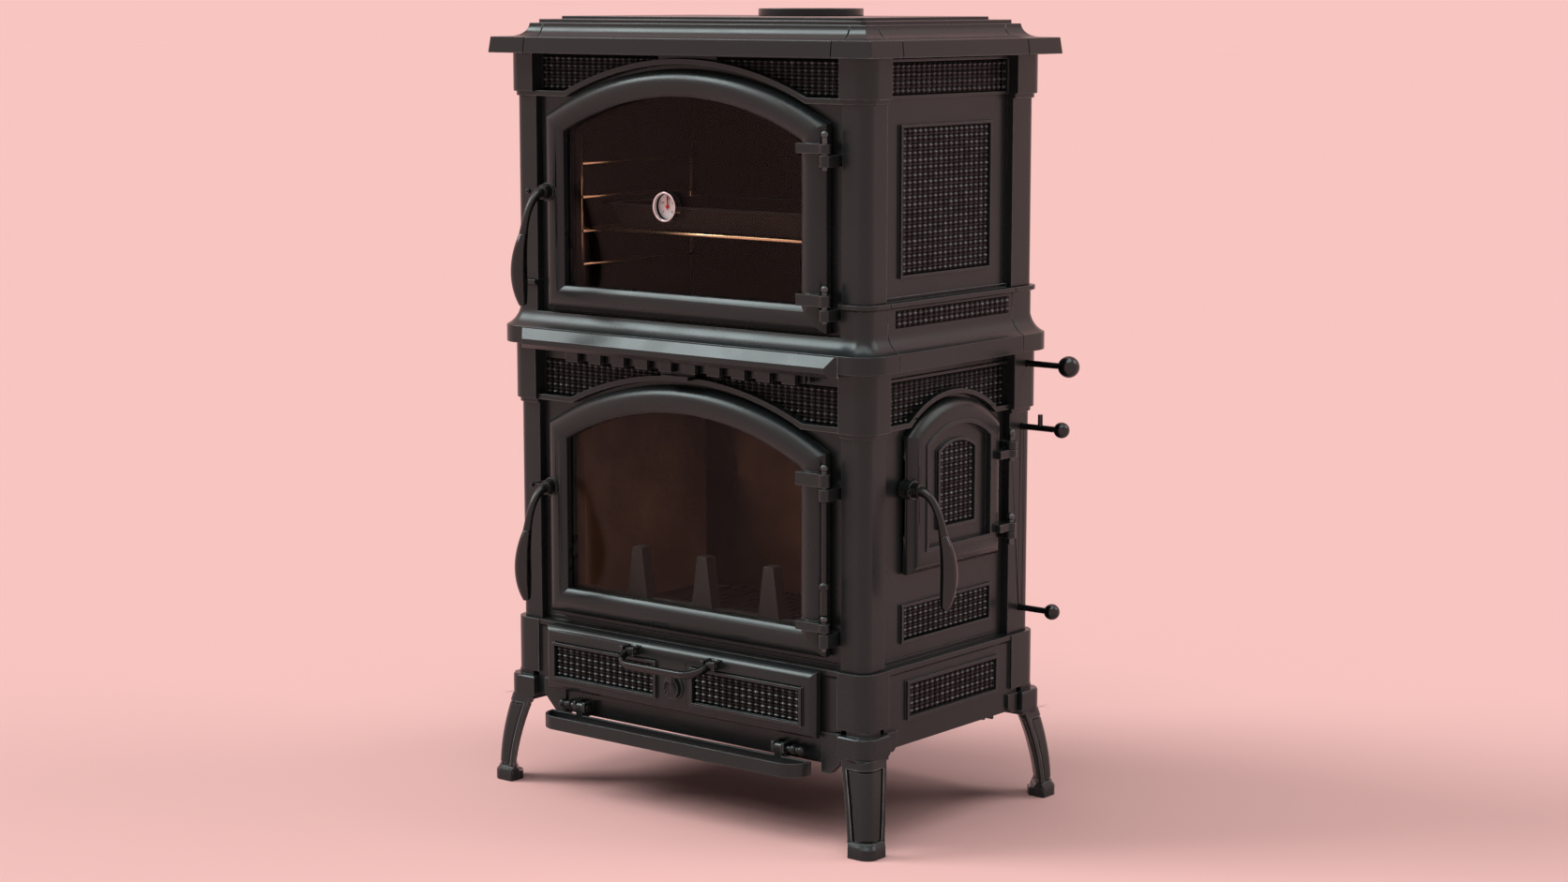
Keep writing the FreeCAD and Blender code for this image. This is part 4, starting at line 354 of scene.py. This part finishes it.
def arch_circle(half, spring, apex):
    """Radius and centre height of the arc through two springing points and an apex."""
    rise = apex - spring
    radius = (half * half + rise * rise) / (2 * rise)
    return radius, apex - radius


front_plane, front_half, arch_gap = 210, 308, 60
door_half, moulding_reach = 245, 55


def spandrel_weaves(name, base, top, centre, radius):
    """Two woven fields over an arch, left and right of its crown."""
    for label, low_x, high_x in (("left", -front_half, -arch_gap), ("right", arch_gap, front_half)):
        front_weave(f"{name}_spandrel_weave_{label}", "stove_body", -front_plane, low_x, high_x,
                    base, top, under_arch(-low_x, radius + moulding_reach, centre - base))


fire_radius, fire_centre = arch_circle(door_half, 590, 652)
spandrel_weaves("fire", 656, 717, fire_centre, fire_radius)

side_plane = 350
band_start, band_end, band_low = -167, 153, 654
side_door_middle = 6
side_radius, side_centre = arch_circle(121, 635, 684)
side_weave("lower_band_weave_right", "stove_body", 1, side_plane, band_start, band_end, band_low, 721,
           under_arch(side_door_middle - band_start, side_radius + 10, side_centre - band_low))
side_weave("lower_band_weave_left", "stove_body", -1, side_plane, band_start, band_end, band_low, 722)
field_start, field_end = -122, 107
side_weave("lower_field_weave_left", "stove_body", -1, side_plane, field_start, field_end, 430, 627)
low_field = (-114, 116, 315, 367)
for label, side in (("left", -1), ("right", 1)):
    side_weave(f"low_field_weave_{label}", "stove_body", side, side_plane, *low_field)

# ------------------------------------------------------------------ fire lining
# Pale firebricks stand against the back and sides of the hearth under an iron baffle.
# The riddling grate lies on the hearth, and the log guard stands inside the door.


def firebrick_material():
    material, tree, shader = new_material("sooted_firebrick")
    place = add(tree, "TexCoord").outputs["Object"]
    casting = place_group(tree, sand_grain, grain_size=2.2 * mm, peel_size=18 * mm)
    clay = blend_colour(tree, casting.outputs["Mottle"], (0.20, 0.105, 0.055, 1), (0.30, 0.18, 0.10, 1))
    pores = add(tree, "TexVoronoi", {"Vector": place, "Scale": 260.0}).outputs["Distance"]
    pitted = blend_colour(tree, ramp(tree, pores, 0.22, 0.08), clay, (0.13, 0.075, 0.045, 1))
    height = add(tree, "SeparateXYZ", {0: place}).outputs["Z"]
    smoke = add(tree, "TexNoise", {"Vector": place, "Scale": 7.0, "Detail": 5.0}).outputs[0]
    reach = add(tree, "Math", {0: smoke, 1: 0.5, 2: height}, operation="MULTIPLY_ADD").outputs[0]
    soot = ramp(tree, reach, 0.62, 0.9, 0.25, 0.9)
    sooted = blend_colour(tree, soot, pitted, (0.035, 0.028, 0.024, 1))
    tree.links.new(sooted, shader.inputs["Base Color"])
    shader.inputs["Roughness"].default_value = 0.93
    relief = add(tree, "Bump", {"Strength": 0.5, "Distance": 1.0 * mm,
                                "Height": casting.outputs["Height"]})
    tree.links.new(relief.outputs[0], shader.inputs["Normal"])
    return material


raw_iron = painted_iron("heat_dulled_iron", (0.014, 0.013, 0.012), (0.05, 0.045, 0.04),
                        shine=0.62, bump=0.25)
dress(firebrick_material(), "firebricks", edge=1.5)
dress(raw_iron, "baffle_plate", "fire_grate", "log_guard")

# ------------------------------------------------------------------ waist
# A hollow-moulded ring that closes the firebox and carries the oven's casing. Across its
# front a loose bar covers the air inlet with a comb of small teeth.

dress(iron, "waist_frame", "waist_rail")
waist_side, waist_field = 364, (-152, 148, 806, 833)
for label, side in (("left", -1), ("right", 1)):
    side_weave(f"waist_weave_{label}", "stove_body", side, waist_side, *waist_field)

# ------------------------------------------------------------------ oven casing
# Posts, front frame and plates like those of the firebox, one storey up. The woven
# fields here are the stove's largest.

dress(iron, *[f"upper_post_{corner}" for corner in corners])
dress(iron, "upper_front_frame", "upper_left_panel", "upper_right_panel", "upper_back_panel")
oven_radius, oven_centre = arch_circle(door_half, 1090, 1150)
spandrel_weaves("oven", 1154, 1212, oven_centre, oven_radius)
upper_band = (band_start, band_end, 1157, 1207)
upper_field = (field_start, field_end, 884, 1108)
for label, side in (("left", -1), ("right", 1)):
    side_weave(f"upper_band_weave_{label}", "stove_body", side, side_plane, *upper_band)
    side_weave(f"upper_field_weave_{label}", "stove_body", side, side_plane, *upper_field)

# ------------------------------------------------------------------ oven
# The oven is a box of enamelled sheet on the waist's bearers. Two wire ladders hang on
# its walls, a wire rack slides on them and an enamelled tray lies on the rack.


def enamel_material():
    material, tree, shader = new_material("speckled_enamel")
    place = add(tree, "TexCoord").outputs["Object"]
    flecks = add(tree, "TexVoronoi", {"Vector": place, "Scale": 420.0}).outputs["Distance"]
    burnt = add(tree, "TexNoise", {"Vector": place, "Scale": 3.0, "Detail": 2.0}).outputs[0]
    base = blend_colour(tree, ramp(tree, burnt, 0.3, 0.75),
                        (0.004, 0.0035, 0.003, 1), (0.009, 0.006, 0.004, 1))
    colour = blend_colour(tree, ramp(tree, flecks, 0.10, 0.06), base, (0.03, 0.026, 0.022, 1))
    tree.links.new(colour, shader.inputs["Base Color"])
    tree.links.new(ramp(tree, burnt, 0.3, 0.7, 0.4, 0.5), shader.inputs["Roughness"])
    shader.inputs["Specular IOR Level"].default_value = 0.2
    return material


enamel = enamel_material()
bright_wire = plain_steel("bright_wire", (0.95, 0.72, 0.46), 0.2)
dress(enamel, "oven_box", "baking_tray", edge=0.8)
dress(bright_wire, "rack_supports", "oven_rack", edge=0)

# ------------------------------------------------------------------ top
# One heavy plate with a flat ledge, a hollow and two steps, and the round collar that
# takes the flue pipe.

dress(iron, "top_plate", "flue_collar", edge=1.2)

# ------------------------------------------------------------------ glazed doors
# Two doors of the same pattern: a mitred convex frame, a pane of heat-proof glass in a
# rebate, a rope seal behind, and straps that turn on loose steel pins.


def pane_material(name, tint, passing):
    """Heat-proof glass; lamps reach what is behind it through its Transparent share."""
    material, tree, shader = new_material(name)
    shader.inputs["Base Color"].default_value = tint + (1,)
    shader.inputs["Roughness"].default_value = 0.015
    shader.inputs["Transmission Weight"].default_value = 1.0
    shader.inputs["IOR"].default_value = 1.16
    open_way = add(tree, "BsdfTransparent", {"Color": passing + (1,)})
    lamp_ray = add(tree, "LightPath").outputs["Is Shadow Ray"]
    mix = add(tree, "MixShader", {0: lamp_ray, 1: shader.outputs[0], 2: open_way.outputs[0]})
    tree.links.new(mix.outputs[0], tree.nodes["Material Output"].inputs["Surface"])
    return material


def rope_material():
    material, tree, shader = new_material("glass_rope")
    place = add(tree, "TexCoord").outputs["Object"]
    strands = add(tree, "TexWave", {"Vector": place, "Scale": 90.0, "Distortion": 2.0},
                  bands_direction="DIAGONAL")
    tone = blend_colour(tree, strands.outputs[1], (0.10, 0.10, 0.10, 1), (0.24, 0.23, 0.22, 1))
    tree.links.new(tone, shader.inputs["Base Color"])
    shader.inputs["Roughness"].default_value = 0.95
    relief = add(tree, "Bump", {"Strength": 0.7, "Distance": 1.0 * mm, "Height": strands.outputs[1]})
    tree.links.new(relief.outputs[0], shader.inputs["Normal"])
    return material


dress(iron, "oven_door_frame", "fire_door_frame")
dress(pane_material("oven_pane", (0.86, 0.84, 0.80), (0.75, 0.73, 0.7)), "oven_door_glass", edge=0.5)
dress(pane_material("fire_pane", (0.88, 0.86, 0.83), (0.8, 0.78, 0.75)), "fire_door_glass", edge=0.5)
dress(rope_material(), "oven_door_gasket", "fire_door_gasket", edge=0.8)
dress(dark_steel, "hinge_pins", edge=0.5)
dress(black_steel, "door_spring", edge=0.5)

# ------------------------------------------------------------------ thermometer
# A round dial clipped to the oven's glass: a chromed case, a white face with plain
# numbers and a red needle.


def plain_paint(name, colour, roughness=0.4):
    material, tree, shader = new_material(name)
    shader.inputs["Base Color"].default_value = colour + (1,)
    shader.inputs["Roughness"].default_value = roughness
    return material


chrome = plain_steel("chromed_case", (0.75, 0.8, 0.82), 0.1)
dress(chrome, "thermometer", edge=0.6)
dress(plain_paint("needle_red", (0.62, 0.015, 0.01)), "thermometer_needle", edge=0)
case_low, case_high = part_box("thermometer")
face_depth, case_wall = 4 * mm, 3 * mm
dial_middle = (case_low + case_high) / 2
dial_middle.y = case_high.y - face_depth
dial_radius = (case_high.x - case_low.x) / 2 - case_wall - 0.1 * mm
print_lift, print_thick = 0.5 * mm, 0.2 * mm


def on_dial(radius, turn):
    """Matrix that stands at a radius on the dial, turned clockwise from its top."""
    place = dial_middle + Vector((radius * math.sin(turn), -print_lift, radius * math.cos(turn)))
    return Matrix.Translation(place) @ Matrix.Rotation(turn, 4, "Y")


def door_piece(name, form, material):
    """Piece of the oven door's dial, made from a bmesh, riding on the oven door."""
    mesh = bpy.data.meshes.new(name)
    form.to_mesh(mesh)
    form.free()
    mesh.materials.append(material)
    piece = bpy.data.objects.new(name, mesh)
    bpy.context.scene.collection.objects.link(piece)
    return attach(piece, "oven_door")


def make_dial():
    """White face, and on it a scale of long and short marks with a number at each long mark."""
    upright = Matrix.Rotation(math.radians(90), 4, "X")
    form = bmesh.new()
    bmesh.ops.create_cone(form, cap_ends=True, segments=64, radius1=dial_radius, radius2=dial_radius,
                          depth=2 * print_lift, matrix=Matrix.Translation(dial_middle) @ upright)
    door_piece("dial_face", form, plain_paint("dial_white", (0.78, 0.8, 0.8)))
    form = bmesh.new()
    sweep, steps = math.radians(260), 16
    outer, long_mark, short_mark, number_radius = 0.93, 0.13, 0.07, 0.64
    for step in range(steps + 1):
        turn = sweep * (step / steps - 0.5)
        major = step % 4 == 0
        length = dial_radius * (long_mark if major else short_mark)
        width = (0.9 if major else 0.5) * mm
        mark = Matrix.Diagonal((width, print_thick, length, 1))
        bmesh.ops.create_cube(form, size=1, matrix=on_dial(outer * dial_radius - length / 2, turn) @ mark)
        if major:
            letters = bpy.data.curves.new("number", "FONT")
            letters.body = str(25 * step)
            letters.size, letters.extrude = 5.2 * mm, print_thick / 2
            letters.align_x, letters.align_y = "CENTER", "CENTER"
            holder = bpy.data.objects.new("number", letters)
            number = bpy.data.meshes.new_from_object(holder)
            level = Matrix.Rotation(-turn, 4, "Y") @ upright
            number.transform(on_dial(number_radius * dial_radius, turn) @ level)
            form.from_mesh(number)
            bpy.data.objects.remove(holder)
            bpy.data.meshes.remove(number)
    door_piece("dial_print", form, plain_paint("dial_print", (0.03, 0.03, 0.035)))


make_dial()

# ------------------------------------------------------------------ handles
# Each latch handle is a forged arm on a spindle with a tapered grip of black plastic,
# hung so that the grip drops beside the door.

gloss = plain_steel("gloss_black_grip", (0.003, 0.0035, 0.004), 0.13, metallic=0.0, specular=0.6)
for door in ("oven", "fire", "side"):
    dress(black_steel, f"{door}_handle_arm", edge=0.6)
    dress(gloss, f"{door}_handle_grip", edge=0)

# ------------------------------------------------------------------ side door
# The arched door for long logs: a crowned rim, a bead inside it, and on the sunk panel a
# beaded field that is filled with the weave.

dress(iron, "side_door_frame", edge=0.8)
field_half, field_base, field_top = 45.5, 486.5, 617
field_radius, field_centre = arch_circle(51, 606, 622)
field_plane, straight_height, bead = 364.5, 60, 5


def in_side_field(u, v):
    """Test for places on the side door's panel inside its beaded, arched field."""
    from_centre = math.hypot(u - field_half, v + field_base - field_centre)
    return v < straight_height or from_centre < field_radius - bead


side_weave("side_door_weave", "side_door", 1, field_plane, side_door_middle - field_half,
           side_door_middle + field_half, field_base, field_top, in_side_field)

# ------------------------------------------------------------------ ash drawer
# A sheet-steel pan behind a bevelled iron door with two woven fields, a bow handle and
# a drop-shaped cover over the air hole.

sheet_steel = plain_steel("sheet_steel", (0.28, 0.28, 0.29), 0.45, streak=0.05)
dress(iron, "ash_door", edge=0.8)
dress(sheet_steel, "ash_pan", edge=0.4)
dress(black_steel, "ash_bail", edge=0)
dress(iron, "air_cover", edge=0.8)
ash_plane, ash_inner, ash_outer = 248, 41, 257
for label, low_x, high_x in (("left", -ash_outer, -ash_inner), ("right", ash_inner, ash_outer)):
    front_weave(f"ash_weave_{label}", "ash_drawer", -ash_plane, low_x, high_x, 195, 247)

# ------------------------------------------------------------------ front rail, slider and levers
# The folding rail in front of the ash door, the slider that sets the air at the waist,
# and three rods with black balls at the right.

dress(iron, "front_rail", edge=0.8)
dress(black_steel, "air_slider", edge=0.5)
dress(gloss, "damper_lever", "air_lever", "grate_lever", edge=0.4)

# ------------------------------------------------------------------ studio
# Plain pale floor and backdrop under broad soft lamps.

backdrop = (0.94, 0.56, 0.53)
floor_mesh = bpy.data.meshes.new("floor")
reach = 60
floor_mesh.from_pydata([(-reach, -reach, 0), (reach, -reach, 0), (reach, reach, 0), (-reach, reach, 0)],
                       [], [(0, 1, 2, 3)])
floor = bpy.data.objects.new("floor", floor_mesh)
bpy.context.scene.collection.objects.link(floor)
floor_paint, tree, shader = new_material("pale_floor")
shader.inputs["Base Color"].default_value = backdrop + (1,)
shader.inputs["Roughness"].default_value = 0.9
shader.inputs["Specular IOR Level"].default_value = 0.0
floor_mesh.materials.append(floor_paint)

world = bpy.data.worlds.new("studio")
bpy.context.scene.world = world
world.use_nodes = True
tree = world.node_tree
rays = add(tree, "LightPath").outputs
seen = rays["Is Camera Ray"]
for kind in ("Is Glossy Ray", "Is Transmission Ray"):
    seen = add(tree, "Math", {0: seen, 1: rays[kind]}, operation="MAXIMUM").outputs[0]
world_light = 0.12
light = blend_colour(tree, seen, (world_light, world_light, world_light, 1), backdrop + (1,))
tree.links.new(light, tree.nodes["Background"].inputs["Color"])

for name, strength, spread, tilt, turn in (
    ("key", 1.4, 26, 48, -57),
    ("top", 1.5, 55, 10, 0),
    ("side", 0.55, 34, 50, 130),
):
    lamp = bpy.data.lights.new(name, "SUN")
    lamp.energy = strength
    lamp.angle = math.radians(spread)
    sun = bpy.data.objects.new(name, lamp)
    sun.rotation_euler = (math.radians(tilt), 0, math.radians(turn))
    bpy.context.scene.collection.objects.link(sun)

lens = bpy.data.cameras.new("camera")
lens.lens = 68.4
lens.sensor_width = 36
camera = bpy.data.objects.new("camera", lens)
look_down, look_left = 8.56, 38.87
camera.location = at(3050.2, -3754.5, 1310)
camera.rotation_euler = (math.radians(90 - look_down), 0, math.radians(look_left))
bpy.context.scene.collection.objects.link(camera)
bpy.context.scene.camera = camera
bpy.context.scene.view_settings.view_transform = "Standard"
